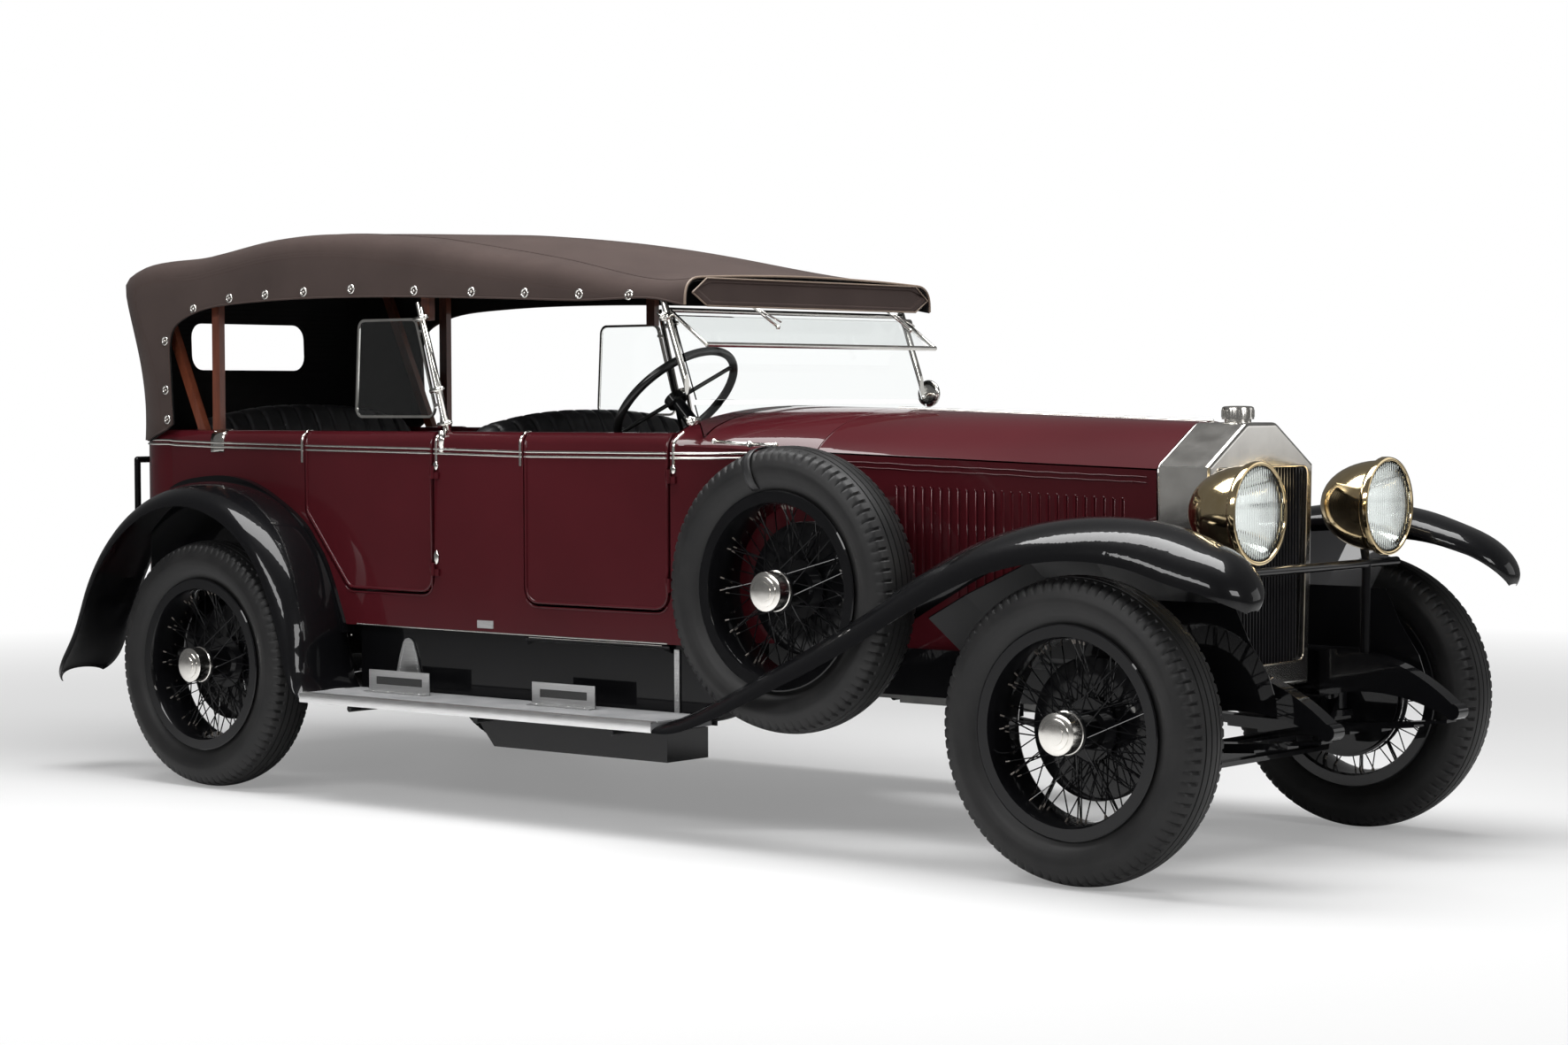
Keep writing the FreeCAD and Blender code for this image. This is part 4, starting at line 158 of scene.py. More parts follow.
def paint(name, dark, light, coat_roughness=0.03):
    # gloss coach enamel: a very slight unevenness in tone and in the coat
    material, tree, shader = new_material(name, {
        "Roughness": 0.35, "Specular IOR Level": 0.05, "Coat Weight": 1.0, "Coat IOR": 1.34,
        "Coat Roughness": coat_roughness})
    colour(tree, shader, noise(tree, scale=1.6), dark, light)
    bump(tree, shader, noise(tree, scale=26.0, detail=2.0), strength=0.02, distance=0.002)
    return material


def metal(name, dark, light, rough_low, rough_high, stretch=None):
    material, tree, shader = new_material(name, {"Metallic": 1.0})
    pattern = noise(tree, scale=14.0, detail=4.0, roughness=0.6, stretch=stretch)
    colour(tree, shader, pattern, dark, light)
    polish(tree, shader, pattern, rough_low, rough_high)
    bump(tree, shader, pattern, strength=0.03, distance=0.001)
    return material


def rubber(name, dark, light):
    material, tree, shader = new_material(name, {"Specular IOR Level": 0.3})
    pattern = noise(tree, scale=9.0, detail=6.0, roughness=0.65)
    colour(tree, shader, pattern, dark, light)
    polish(tree, shader, pattern, low=0.42, high=0.58)
    bump(tree, shader, noise(tree, scale=420.0, detail=2.0), strength=0.15, distance=0.0006)
    return material


def weave(name, dark, light):
    # canvas: crossing threads as waves in the surface's own space
    material, tree, shader = new_material(name, {
        "Roughness": 0.88, "Specular IOR Level": 0.15, "Sheen Weight": 0.06, "Sheen Roughness": 0.5})
    place = object_place(tree)
    threads = {}
    for index, direction in enumerate(("X", "Y")):
        values = {"Scale": 420.0, "Distortion": 0.6}
        wave = add_node(tree, "TexWave", values, {"Vector": place}, bands_direction=direction)
        threads[index] = wave.outputs["Fac"]
    crossed = add_node(tree, "Math", links=threads, operation="MULTIPLY")
    colour(tree, shader, noise(tree, scale=3.0, detail=6.0, roughness=0.6), dark, light)
    bump(tree, shader, crossed.outputs["Value"], strength=0.35, distance=0.0008)
    return material


def leather(name, dark, light):
    material, tree, shader = new_material(name, {})
    colour(tree, shader, noise(tree, scale=7.0, detail=5.0), dark, light)
    polish(tree, shader, noise(tree, scale=12.0), low=0.32, high=0.5)
    grain = add_node(tree, "TexVoronoi", {"Scale": 320.0}, {"Vector": object_place(tree)})
    bump(tree, shader, grain.outputs["Distance"], strength=0.25, distance=0.0008)
    return material


def wood(name, dark, light, stretch, coat):
    material, tree, shader = new_material(name, {
        "Roughness": 0.4, "Coat Weight": coat, "Coat Roughness": 0.1})
    pattern = noise(tree, scale=9.0, detail=8.0, roughness=0.7, stretch=stretch)
    colour(tree, shader, pattern, dark, light)
    bump(tree, shader, pattern, strength=0.06, distance=0.001)
    return material


def glass(name, tint):
    # thin clear panes: mostly see-through, with a plain reflection
    material, _, _ = new_material(name, {
        "Base Color": tint + (1,), "Roughness": 0.02, "IOR": 1.2, "Transmission Weight": 1.0})
    return material


def ribbed_glass(name, tint):
    # clear moulded glass with fine upright flutes
    material = glass(name, tint)
    tree = material.node_tree
    wave = add_node(tree, "TexWave", {"Scale": 26.0}, {"Vector": object_place(tree)},
                    bands_direction="Y", wave_profile="SIN")
    bump(tree, tree.nodes["Principled BSDF"], wave.outputs["Fac"], strength=0.35, distance=0.002)
    return material


def wire_mesh(name, dark, light):
    material, tree, shader = new_material(name, {"Metallic": 0.6, "Roughness": 0.45})
    values = {"Scale": 330.0, "Color1": dark + (1,), "Color2": light + (1,)}
    pattern = add_node(tree, "TexChecker", values, {"Vector": object_place(tree)})
    tree.links.new(pattern.outputs["Color"], shader.inputs["Base Color"])
    bump(tree, shader, pattern.outputs["Fac"], strength=0.4, distance=0.0008)
    return material


materials = {
    "enamel": paint("black_gloss_enamel", (0.0028, 0.0028, 0.0034), (0.0045, 0.0045, 0.0052)),
    "maroon": paint("burgundy_gloss_paint", (0.050, 0.0052, 0.0078), (0.062, 0.0070, 0.0105)),
    "grille": paint("black_grille_slats", (0.010, 0.010, 0.011), (0.020, 0.020, 0.022), 0.2),
    "ebonite": paint("black_wheel_ebonite", (0.008, 0.008, 0.008), (0.014, 0.014, 0.014), 0.12),
    "nickel": metal("polished_nickel", (0.70, 0.68, 0.64), (0.82, 0.80, 0.76), 0.14, 0.24),
    "warm_bead": metal("warm_grille_bead", (0.66, 0.58, 0.46), (0.78, 0.70, 0.58), 0.14, 0.24),
    "brass": metal("polished_lamp_brass", (0.78, 0.60, 0.33), (0.88, 0.72, 0.45), 0.07, 0.13),
    "silver": metal("silvered_reflector", (0.86, 0.86, 0.84), (0.94, 0.94, 0.93), 0.05, 0.10),
    "aluminium": metal("brushed_aluminium", (0.60, 0.60, 0.60), (0.74, 0.74, 0.74), 0.28, 0.42,
                       (1.0, 30.0, 30.0)),
    "cast": metal("cast_grey_metal", (0.16, 0.16, 0.16), (0.26, 0.26, 0.25), 0.5, 0.7),
    "worn_steel": metal("worn_steel", (0.10, 0.085, 0.075), (0.24, 0.22, 0.20), 0.4, 0.6),
    "mesh": wire_mesh("dark_wire_mesh", (0.02, 0.02, 0.02), (0.14, 0.14, 0.14)),
    "tyre": rubber("black_tyre_rubber", (0.0070, 0.0070, 0.0074), (0.014, 0.0136, 0.0136)),
    "board": rubber("grey_board_rubber", (0.20, 0.205, 0.21), (0.30, 0.30, 0.305)),
    "canvas": weave("taupe_canvas", (0.036, 0.0235, 0.0205), (0.052, 0.0350, 0.0305)),
    "lining": weave("black_hood_lining", (0.008, 0.008, 0.008), (0.013, 0.012, 0.012)),
    "leather": leather("black_seat_leather", (0.010, 0.010, 0.011), (0.020, 0.020, 0.021)),
    "piping": leather("pale_hood_piping", (0.17, 0.125, 0.095), (0.23, 0.175, 0.135)),
    "bow_wood": wood("varnished_bow_wood", (0.075, 0.017, 0.008), (0.150, 0.040, 0.018), (6.0, 6.0, 1.0),
                     0.6),
    "dash_wood": wood("walnut_dashboard", (0.07, 0.026, 0.012), (0.16, 0.07, 0.03), (8.0, 1.0, 8.0), 0.8),
    "glass": glass("clear_flat_glass", (0.97, 0.99, 0.985)),
    "lens": ribbed_glass("ribbed_lamp_glass", (0.98, 0.99, 0.99)),
}

slot_looks = {
    "tyre_rubber": "tyre",
    "black_enamel": "enamel",
    "cast_metal": "cast",
    "maroon_paint": "maroon",
    "nickel": "nickel",
    "dark_grille": "grille",
    "polished_brass": "brass",
    "ribbed_rubber": "board",
    "clear_glass": "glass",
    "canvas": "canvas",
    "bent_wood": "bow_wood",
    "black_leather": "leather",
    "wheel_rim": "ebonite",
    "polished_wood": "dash_wood",
}
look_slots = {look: slot_name for slot_name, look in slot_looks.items()}
look_slots.update(piping="canvas", lining="canvas", silver="nickel", warm_bead="nickel", lens="clear_glass",
                  aluminium="ribbed_rubber", mesh="black_enamel", worn_steel="black_enamel")


def dress_nodes():
    for part in frame["record"]["subparts"]:
        look = materials[slot_looks[part["material_slot"]]]
        mesh = nodes[part["node"]].data
        if not mesh.materials:
            mesh.materials.append(look)
        for index in range(len(mesh.materials)):
            mesh.materials[index] = look


dress_nodes()


# Making pieces

dome_shares = (1.0, 0.85, 0.5, 0.12)
dome_height_share = 0.6


def side_name(side):
    return "right" if side == RIGHT else "left"


def on_both_sides(*makers):
    for make in makers:
        for side in SIDES:
            make(side)


def spaced(start, end, steps):
    return [start + (end - start) * step / steps for step in range(steps + 1)]


def circle(count):
    # (cosine, sine) of evenly spaced turns
    return [(math.cos(2 * math.pi * k / count), math.sin(2 * math.pi * k / count)) for k in range(count)]


def ring(place, across, other, radius, count):
    return [place + across * radius * c + other * radius * s for c, s in circle(count)]


def rounded(corners, radius):
    # a loop of (y, z) points; corners are the centres of the four roundings, from +Y +Z anticlockwise
    return [(y + radius * math.cos(math.radians(turn)), z + radius * math.sin(math.radians(turn)))
            for index, (y, z) in enumerate(corners) for turn in spaced(90 * index, 90 * index + 90, 6)]


def place_piece(obj, look, body):
    bpy.context.scene.collection.objects.link(obj)
    obj.data.materials.append(materials[look])
    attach(obj, body)
    return obj


def harden(work, degrees):
    # edges bent by more than this stay hard on a smooth piece
    for edge in work.edges:
        if len(edge.link_faces) == 2 and edge.calc_face_angle(0) > math.radians(degrees):
            edge.smooth = False


def built_mesh(name, verts, faces, smooth=True, crease=None):
    mesh = bpy.data.meshes.new(name)
    mesh.from_pydata(verts, [], faces)
    if smooth:
        mesh.shade_smooth()
    work = bmesh.new()
    work.from_mesh(mesh)
    bmesh.ops.recalc_face_normals(work, faces=work.faces)
    if crease is not None:
        harden(work, crease)
    work.to_mesh(mesh)
    work.free()
    return mesh


def line_piece(name, paths, radius, look, body="body", closed=False):
    curve = bpy.data.curves.new(name, "CURVE")
    curve.dimensions = "3D"
    curve.bevel_depth = radius
    curve.bevel_resolution = 3
    curve.use_fill_caps = True
    for path in paths:
        spline = curve.splines.new("POLY")
        spline.points.add(len(path) - 1)
        for point, place in zip(spline.points, path):
            point.co = (place[0], place[1], place[2], 1.0)
        spline.use_cyclic_u = closed
        spline.use_smooth = True
    return place_piece(bpy.data.objects.new(name, curve), look, body)


class Shape:
    # verts and faces gathered from several simple forms
    def __init__(self):
        self.verts = []
        self.faces = []

    def add(self, verts, faces):
        start = len(self.verts)
        self.verts += [tuple(v) for v in verts]
        self.faces += [tuple(start + index for index in face) for face in faces]

    def plate(self, points):
        self.add(points, [tuple(range(len(points)))])

    def sweep(self, rows, closed=False, looped=False):
        # rows of points, each joined to the next: closed joins each row's ends,
        # looped joins the last row to the first
        count = len(rows[0])
        faces = []
        for row in range(len(rows) if looped else len(rows) - 1):
            here = row * count
            there = (row + 1) % len(rows) * count
            for k in range(count if closed else count - 1):
                after = (k + 1) % count
                faces.append((here + k, here + after, there + after, there + k))
        self.add([point for row in rows for point in row], faces)

    def lathe(self, profile, steps, centre=(0, 0, 0), axis="Y"):
        # profile holds (radius, along) pairs
        rows = []
        for c, s in circle(steps):
            points = {"X": [(along, r * c, r * s) for r, along in profile],
                      "Y": [(r * c, along, r * s) for r, along in profile],
                      "Z": [(r * c, r * s, along) for r, along in profile]}[axis]
            rows.append([Vector(point) + Vector(centre) for point in points])
        self.sweep(rows, looped=True)

    def bar(self, start, end, radius, sides=6, end_radius=None):
        run = (end - start).normalized()
        across = run.orthogonal().normalized()
        other = run.cross(across)
        near = ring(start, across, other, radius, sides)
        far = ring(end, across, other, end_radius or radius, sides)
        faces = [(k, (k + 1) % sides, sides + (k + 1) % sides, sides + k) for k in range(sides)]
        self.add(near + far, faces + [tuple(range(sides)), tuple(range(sides, sides * 2))])

    def block(self, low, high, chamfer):
        work = bmesh.new()
        bmesh.ops.create_cube(work, size=1.0)
        for vert in work.verts:
            vert.co = [b if v > 0 else a for v, a, b in zip(vert.co, low, high)]
        bmesh.ops.bevel(work, geom=work.edges[:] + work.verts[:], offset=chamfer, segments=2, affect="EDGES")
        work.verts.ensure_lookup_table()
        self.add([v.co[:] for v in work.verts], [[v.index for v in f.verts] for f in work.faces])
        work.free()

    def slab(self, xs, ys, zs, chamfer):
        # a block whose sides may be named in either order
        self.block(*zip(*(sorted(pair) for pair in (xs, ys, zs))), chamfer)

    def ball(self, place, radius):
        rows = []
        for polar in spaced(0, math.pi, 8)[1:-1]:
            level = place + along_z * radius * math.cos(polar)
            rows.append(ring(level, along_x, along_y, radius * math.sin(polar), 12))
        self.sweep(rows, closed=True)
        self.plate(rows[0])
        self.plate(rows[-1])

    def rivet(self, place, out, radius):
        # a domed head standing out this way
        rows = []
        for share in dome_shares:
            level = place + out * radius * dome_height_share * math.sqrt(1 - share * share)
            rows.append(ring(level, along_x, out.cross(along_x), radius * share, 10))
        self.sweep(rows, closed=True)

    def piece(self, name, look, body="body", smooth=True, crease=None):
        mesh = built_mesh(name, self.verts, self.faces, smooth, crease)
        return place_piece(bpy.data.objects.new(name, mesh), look, body)


def thicken(obj, depth):
    modifier = obj.modifiers.new("thickness", "SOLIDIFY")
    modifier.thickness = depth
    modifier.offset = -1.0


def settle(obj):
    # apply the piece's modifiers
    graph = bpy.context.evaluated_depsgraph_get()
    graph.update()
    made = bpy.data.meshes.new_from_object(obj.evaluated_get(graph))
    obj.modifiers.clear()
    obj.data = made


# Wheels

tyre_radius = 0.437
tyre_half_width = 0.094
tread_half_width = 0.072
tread_drop = 0.015
groove_depth = 0.006
groove_places = (-0.036, -0.013, 0.013, 0.036)
groove_section = ((-0.0045, 0), (-0.0025, 0), (-0.0015, groove_depth), (0.0015, groove_depth), (0.0025, 0),
                  (0.0045, 0))
shoulder_places = (0.049, 0.051, 0.060, 0.066, 0.072)
block_edge = 0.050
block_count = 84
steps_per_block = 5
bead_half_width = 0.0655
bead_radius = 0.283
rim_edge_radius = 0.307
wall_bulge = 0.003
bulge_start_share = 0.03
bulge_span_share = 0.94
wall_ridges = ((0.372, 0.0012), (0.331, 0.0015))
ridge_half_width = 0.005
cut_wall_share = 0.16
# (radius, y) of the turned parts
rim_outline = ((0.262, -0.066), (0.268, -0.078), (0.300, -0.079), (0.304, -0.0765), (0.303, -0.072),
               (0.284, -0.067), (0.282, -0.060), (0.279, -0.030), (0.278, 0.0), (0.279, 0.030),
               (0.282, 0.060), (0.284, 0.067), (0.303, 0.072), (0.304, 0.0765), (0.300, 0.079),
               (0.268, 0.078), (0.262, 0.066), (0.258, 0.030), (0.256, 0.0), (0.258, -0.030),
               (0.262, -0.066))
hub_outline = ((0.028, -0.104), (0.050, -0.104), (0.050, -0.050), (0.090, -0.050), (0.090, -0.042),
               (0.056, -0.042), (0.046, -0.030), (0.044, 0.050), (0.050, 0.060), (0.064, 0.062),
               (0.064, 0.070), (0.058, 0.072))
drum_outline = ((0.050, -0.060), (0.150, -0.059), (0.190, -0.059), (0.203, -0.062), (0.205, -0.066),
                (0.2025, -0.069), (0.205, -0.072), (0.2025, -0.076), (0.205, -0.080), (0.2025, -0.084),
                (0.205, -0.088), (0.2025, -0.092), (0.205, -0.096), (0.205, -0.104), (0.196, -0.104),
                (0.196, -0.072), (0.060, -0.070))
cap_outline = ((0.0, 0.1365), (0.020, 0.1362), (0.030, 0.1350), (0.0305, 0.1325), (0.042, 0.1315),
               (0.045, 0.1300), (0.0455, 0.1270), (0.055, 0.1255), (0.0595, 0.1225), (0.060, 0.1180),
               (0.060, 0.080), (0.0625, 0.078), (0.0625, 0.072), (0.058, 0.0715))
spoke_radius = 0.0021
nipple_radius = 0.0030
nipple_length = 0.013
nipple_foot_radius = spoke_radius * 1.2
rim_seat_radius = 0.2575
row_turn_share = 0.33
spoke_rows = (
    # (hub radius, hub y, rim y, lean in degrees, spokes)
    (0.057, 0.066, -0.020, 33.0, 24),
    (0.084, -0.046, 0.004, 21.0, 24),
    (0.084, -0.046, 0.030, 27.0, 24),
)
wheel_crease_degrees = 32


def tread_profile():
    # (radius, y, is cut between the blocks) across the tread
    points = [(-y, 0) for y in reversed(shoulder_places)]
    points += [(place + shift, depth) for place in groove_places for shift, depth in groove_section]
    points += [(y, 0) for y in shoulder_places]
    return [(tyre_radius - tread_drop * (y / tread_half_width) ** 2 - depth, y, abs(y) > block_edge)
            for y, depth in points]


def wall_profile(side):
    # from the tread's edge down to the bead
    points = []
    top = tyre_radius - tread_drop
    for share in spaced(0, 1, 14)[1:]:
        radius = top + (rim_edge_radius - top) * share
        swell_share = math.sin(math.pi * (share * bulge_span_share + bulge_start_share))
        y = tread_half_width + (bead_half_width - tread_half_width) * share
        y += (tyre_half_width - tread_half_width + wall_bulge) * swell_share
        y += sum(height for ridge, height in wall_ridges if abs(radius - ridge) < ridge_half_width)
        points.append((radius, side * y, share < cut_wall_share))
    return points + [(bead_radius, side * bead_half_width, False)]


def tyre_shape():
    profile = list(reversed(wall_profile(RIGHT))) + tread_profile() + wall_profile(LEFT)
    rows = []
    for step, (c, s) in enumerate(circle(block_count * steps_per_block)):
        row = []
        for radius, y, cut in profile:
            # the two shoulders' blocks are set half a pitch apart
            turn = (step + (steps_per_block // 2 if y > 0 else 0)) % steps_per_block
            depth = groove_depth if cut and turn == 0 else 0
            row.append(((radius - depth) * c, y, (radius - depth) * s))
        rows.append(row)
    shape = Shape()
    shape.sweep(rows, looped=True)
    return shape


def wheel_shapes():
    black = Shape()
    for outline in (rim_outline, hub_outline, drum_outline):
        black.lathe(outline, 72)
    nipples = Shape()
    for row, (hub_radius, hub_y, rim_y, lean, count) in enumerate(spoke_rows):
        for index in range(count):
            turn = 2 * math.pi * (index + row_turn_share * row) / count
            lean_turn = turn + math.radians(lean) * (1 if index % 2 == 0 else -1)
            start = Vector((math.cos(turn), 0, math.sin(turn))) * hub_radius + along_y * hub_y
            end = Vector((math.cos(lean_turn), 0, math.sin(lean_turn))) * rim_seat_radius + along_y * rim_y
            black.bar(start, end, spoke_radius)
            nipple = end - (end - start).normalized() * nipple_length
            nipples.bar(nipple, end, nipple_foot_radius, end_radius=nipple_radius)
    cap = Shape()
    cap.lathe(cap_outline, 48)
    return black, nipples, cap


def wheel_places():
    # (name, hub's middle, body)
    places = []
    for end, x in (("front", front_axle_x), ("rear", rear_axle_x)):
        for side in SIDES:
            name = end + "_" + side_name(side)
            places.append((name, (x, side * wheel_y, axle_z), "wheel_" + name))
    return places + [("spare", spare_place, "body")]


def add_wheels():
    black, nipples, cap = wheel_shapes()
    pieces = (
        # (name, shape, look, start of the name of the node it replaces)
        ("treaded_tyre", tyre_shape(), "tyre", "tyre_"),
        ("laced_wheel", black, "enamel", "wire_wheel_"),
        ("spoke_nipples", nipples, "worn_steel", None),
        ("hub_cap", cap, "nickel", None),
    )
    meshes = {}
    for name, shape, look, _ in pieces:
        meshes[name] = built_mesh(name, shape.verts, shape.faces, crease=wheel_crease_degrees)
        meshes[name].materials.append(materials[look])
    for place_name, place, body in wheel_places():
        for name, _, look, replaced in pieces:
            obj = bpy.data.objects.new(name + "_" + place_name, meshes[name])
            bpy.context.scene.collection.objects.link(obj)
            obj.location = place
            if place[1] < 0:
                obj.rotation_euler = (0, 0, math.pi)
            bpy.context.view_layer.update()
            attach(obj, body)
            if replaced:
                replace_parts(obj, replaced + place_name)


add_wheels()


# Laying trim on the skins

outside_y = 1.3
side_ray = 1.10


def skin_tree(*names):
    skin = Shape()
    for name in names:
        obj = nodes[name]
        skin.add([obj.matrix_world @ vert.co for vert in obj.data.vertices],
                 [face.vertices for face in obj.data.polygons])
    return BVHTree.FromPolygons(skin.verts, skin.faces)


def cast(tree, start, direction, ray):
    return tree.ray_cast(Vector(start), Vector(direction).normalized(), ray)[0]


def side_point(tree, x, z, side, lift=0.0):
    # the skin's place at this x and z, seen square from the side
    place = cast(tree, (x, side * outside_y, z), (0, -side, 0), side_ray)
    return None if place is None else place + along_y * side * lift


def side_path(tree, places, side, lift=0.0, least_y=0.0):
    # the skin's points at these (x, z) places; those that miss it or lie further in are left out
    points = [side_point(tree, x, z, side, lift) for x, z in places]
    return [point for point in points if point is not None and abs(point.y) > least_y]


def between(value, table):
    # straight lines between the table's (place, value) rows
    if value <= table[0][0]:
        return table[0][1]
    for before, after in zip(table, table[1:]):
        if value <= after[0]:
            share = (value - before[0]) / (after[0] - before[0])
            return before[1] + (after[1] - before[1]) * share
    return table[-1][1]


# Belt, door beads and cappings

hinge_front_x = front_axle_x - 1.660
hinge_rear_x = rear_axle_x + 0.970
door_gap = 0.008
front_door_rear_x = front_axle_x - 2.306
rear_door_rear_x = rear_axle_x + 0.304
belt_line = ((-2.45, 1.2175), (-2.2715, 1.217), (-1.9215, 1.209), (-1.4315, 1.202), (-0.7715, 1.196),
             (-0.3415, 1.189), (0.3985, 1.190), (0.72, 1.191))
belt_half_gap = 0.0075
belt_radius = 0.0042
belt_lift = belt_radius * 0.3
belt_step = 0.03
belt_start_x = -2.15
belt_end_x = 0.70
belt_end_gap = 0.002
belt_scuttle_gap = 0.004
belt_door_gap = door_gap + 0.001
side_spans = (
    # (node on each side, body, from x, to x)
    ("body_tub", "body", belt_start_x, rear_door_rear_x - belt_end_gap),
    ("rear_door", "door_rear", rear_door_rear_x + belt_door_gap, hinge_rear_x - belt_door_gap),
    ("body_tub", "body", hinge_rear_x + belt_end_gap, front_door_rear_x - belt_end_gap),
    ("front_door", "door_front", front_door_rear_x + belt_door_gap, hinge_front_x - belt_door_gap),
    ("scuttle", "body", hinge_front_x + belt_scuttle_gap, belt_end_x),
)
tail_centre = Vector((-2.05, 0, 1.2172))
tail_turn = 78
tail_ray = 1.4

door_top_z = 1.256
front_outline = ((hinge_front_x, door_top_z), (hinge_front_x, 0.690), (front_door_rear_x, 0.690),
                 (front_door_rear_x, door_top_z))
rear_outline = ((hinge_rear_x, door_top_z), (hinge_rear_x, 0.708), (rear_axle_x + 0.528, 0.708),
                (rear_door_rear_x, 0.968), (rear_door_rear_x, door_top_z))
door_outlines = (("front_door", "door_front", front_outline), ("rear_door", "door_rear", rear_outline))
door_bead_radius = 0.0055
door_bead_inset = door_gap + 0.0045
door_bead_corner = 0.058
frame_bead_radius = 0.0035
frame_bead_corner = 0.063
frame_bead_least_y = 0.55
bead_step = 0.03
mid_door_z = 1.0


def side_target(node, body, side):
    # each side's door is a node and a body of its own
    suffix = "_" + side_name(side) if node.endswith("door") else ""
    return node + suffix, body + suffix


def tail_points(tree, side, shift):
    # from the middle of the tail round the corner to the side
    points = []
    centre = tail_centre + along_z * shift
    for turn in spaced(180, 180 - side * tail_turn, 26):
        out = Vector((math.cos(math.radians(turn)), math.sin(math.radians(turn)), 0))
        place = cast(tree, centre + out * tail_ray, -out, tail_ray)
        if place is not None and place.x < belt_start_x:
            points.append(place + out * belt_lift)
    return points


def add_belt(side):
    for index, (node, body, start, end) in enumerate(side_spans):
        node_name, body_name = side_target(node, body, side)
        tree = skin_tree(node_name)
        paths = []
        for shift in (-belt_half_gap, belt_half_gap):
            xs = spaced(start, end, max(int((end - start) / belt_step), 2))
            path = side_path(tree, [(x, between(x, belt_line) + shift) for x in xs], side, belt_lift)
            paths.append(tail_points(tree, side, shift) + path if index == 0 else path)
        line_piece("belt_line_%d_%s" % (index, side_name(side)), paths, belt_radius, "nickel", body_name)


def round_corners(outline, corner):
    # an outline open at its top, with its low corners rounded
    path = [Vector(outline[0])]
    for before, here, after in zip(outline, outline[1:], outline[2:]):
        here = Vector(here)
        to_before = (Vector(before) - here).normalized()
        to_after = (Vector(after) - here).normalized()
        reach = corner / math.tan(to_before.angle(to_after) / 2)
        for share in spaced(0, 1, 8):
            a = (here + to_before * reach).lerp(here, share)
            b = here.lerp(here + to_after * reach, share)
            path.append(a.lerp(b, share))
    return path + [Vector(outline[-1])]


def dense(path):
    # the path with points added along its long runs
    points = [path[0]]
    for start, end in zip(path, path[1:]):
        count = max(int((end - start).length / bead_step), 1)
        points += [start.lerp(end, share) for share in spaced(0, 1, count)[1:]]
    return points


def drawn_in(outline, inset):
    # the outline drawn in towards its own middle
    centre = sum((Vector(p) for p in outline), Vector((0, 0))) / len(outline)
    return [(x - math.copysign(inset, x - centre.x), z + (inset if z < centre.y and z < mid_door_z else 0))
            for x, z in outline]


def add_door_beads(side):
    for node, body, outline in door_outlines:
        node_name, body_name = side_target(node, body, side)
        path = dense(round_corners(drawn_in(outline, door_bead_inset), door_bead_corner))
        bead = side_path(skin_tree(node_name), path, side)
        line_piece("door_bead_" + node_name, [bead], door_bead_radius, "maroon", body_name)
    # the body's own narrow bead on the other side of the gap
    tree = skin_tree("body_tub", "scuttle")
    paths = []
    for _, _, outline in door_outlines:
        path = dense(round_corners(drawn_in(outline, -frame_bead_radius), frame_bead_corner))
        paths.append(side_path(tree, path, side, least_y=frame_bead_least_y))
    line_piece("door_frame_bead_" + side_name(side), paths, frame_bead_radius, "maroon")


body_top_z = 1.2585
edge_least_y = 0.5
edge_insets = (0.012, 0.024, 0.036, 0.047)
edge_climb = 0.008
edge_ray_z = 1.40
edge_ray = 0.3
capping_low_z = 1.150
capping_radius = 0.0055
capping_shift = 0.012
scuttle_shift = 0.014
hinge_knobs = (
    # (x, z, half height, node)
    (hinge_rear_x + capping_shift, 1.146, 0.015, "body_tub"),
    (hinge_rear_x + capping_shift, 0.836, 0.024, "body_tub"),
    (hinge_front_x + scuttle_shift, 1.146, 0.015, "scuttle"),
)
knob_radius = 0.011
knob_tip_radius = 0.0008
knob_flat_share = 0.4
knob_shares = (-1.0, -0.8, -0.4, 0.0, 0.4, 0.8, 1.0)
knob_stand_off = 0.004
strap_x = -1.9015
strap_low_z = 1.183
strap_section = ((-0.038, 0.001), (-0.036, 0.004), (0.0, 0.004), (0.036, 0.004), (0.038, 0.001))
strap_side_z = 1.25
strap_top_z = 1.22
trim_thickness = 0.0015


def over_edge(tree, x, side, low_z):
    # up the side, over the rolled top edge and onto the flat
    steps = math.ceil((body_top_z - low_z) / edge_climb)
    points = side_path(tree, [(x, low_z + edge_climb * step) for step in range(steps)], side,
                       least_y=edge_least_y)
    for inset in edge_insets:
        place = cast(tree, (x, points[0].y - side * inset, edge_ray_z), -along_z, edge_ray)
        if place is not None:
            points.append(place)
    return points


def add_cappings(side):
    tub = skin_tree("body_tub")
    scuttle = skin_tree("scuttle")
    bright = [over_edge(tub, x, side, capping_low_z) for x in (
        rear_door_rear_x - capping_shift, hinge_rear_x + capping_shift, front_door_rear_x - capping_shift)]
    bright.append(over_edge(scuttle, hinge_front_x + scuttle_shift, side, capping_low_z))
    line_piece("strap_capping_" + side_name(side), bright, capping_radius, "nickel")
    knobs = Shape()
    for x, z, half_height, node in hinge_knobs:
        place = side_point(tub if node == "body_tub" else scuttle, x, z, side, knob_stand_off)
        rows = []
        for share in knob_shares:
            radius = knob_radius * math.sqrt(1 - share * share) + knob_tip_radius
            level = place + along_z * share * half_height
            rows.append(ring(level, along_x, along_y * side * knob_flat_share, radius, 14))
        knobs.sweep(rows, closed=True)
    knobs.piece("hinge_knobs_" + side_name(side), "nickel")
    add_body_strap(side)


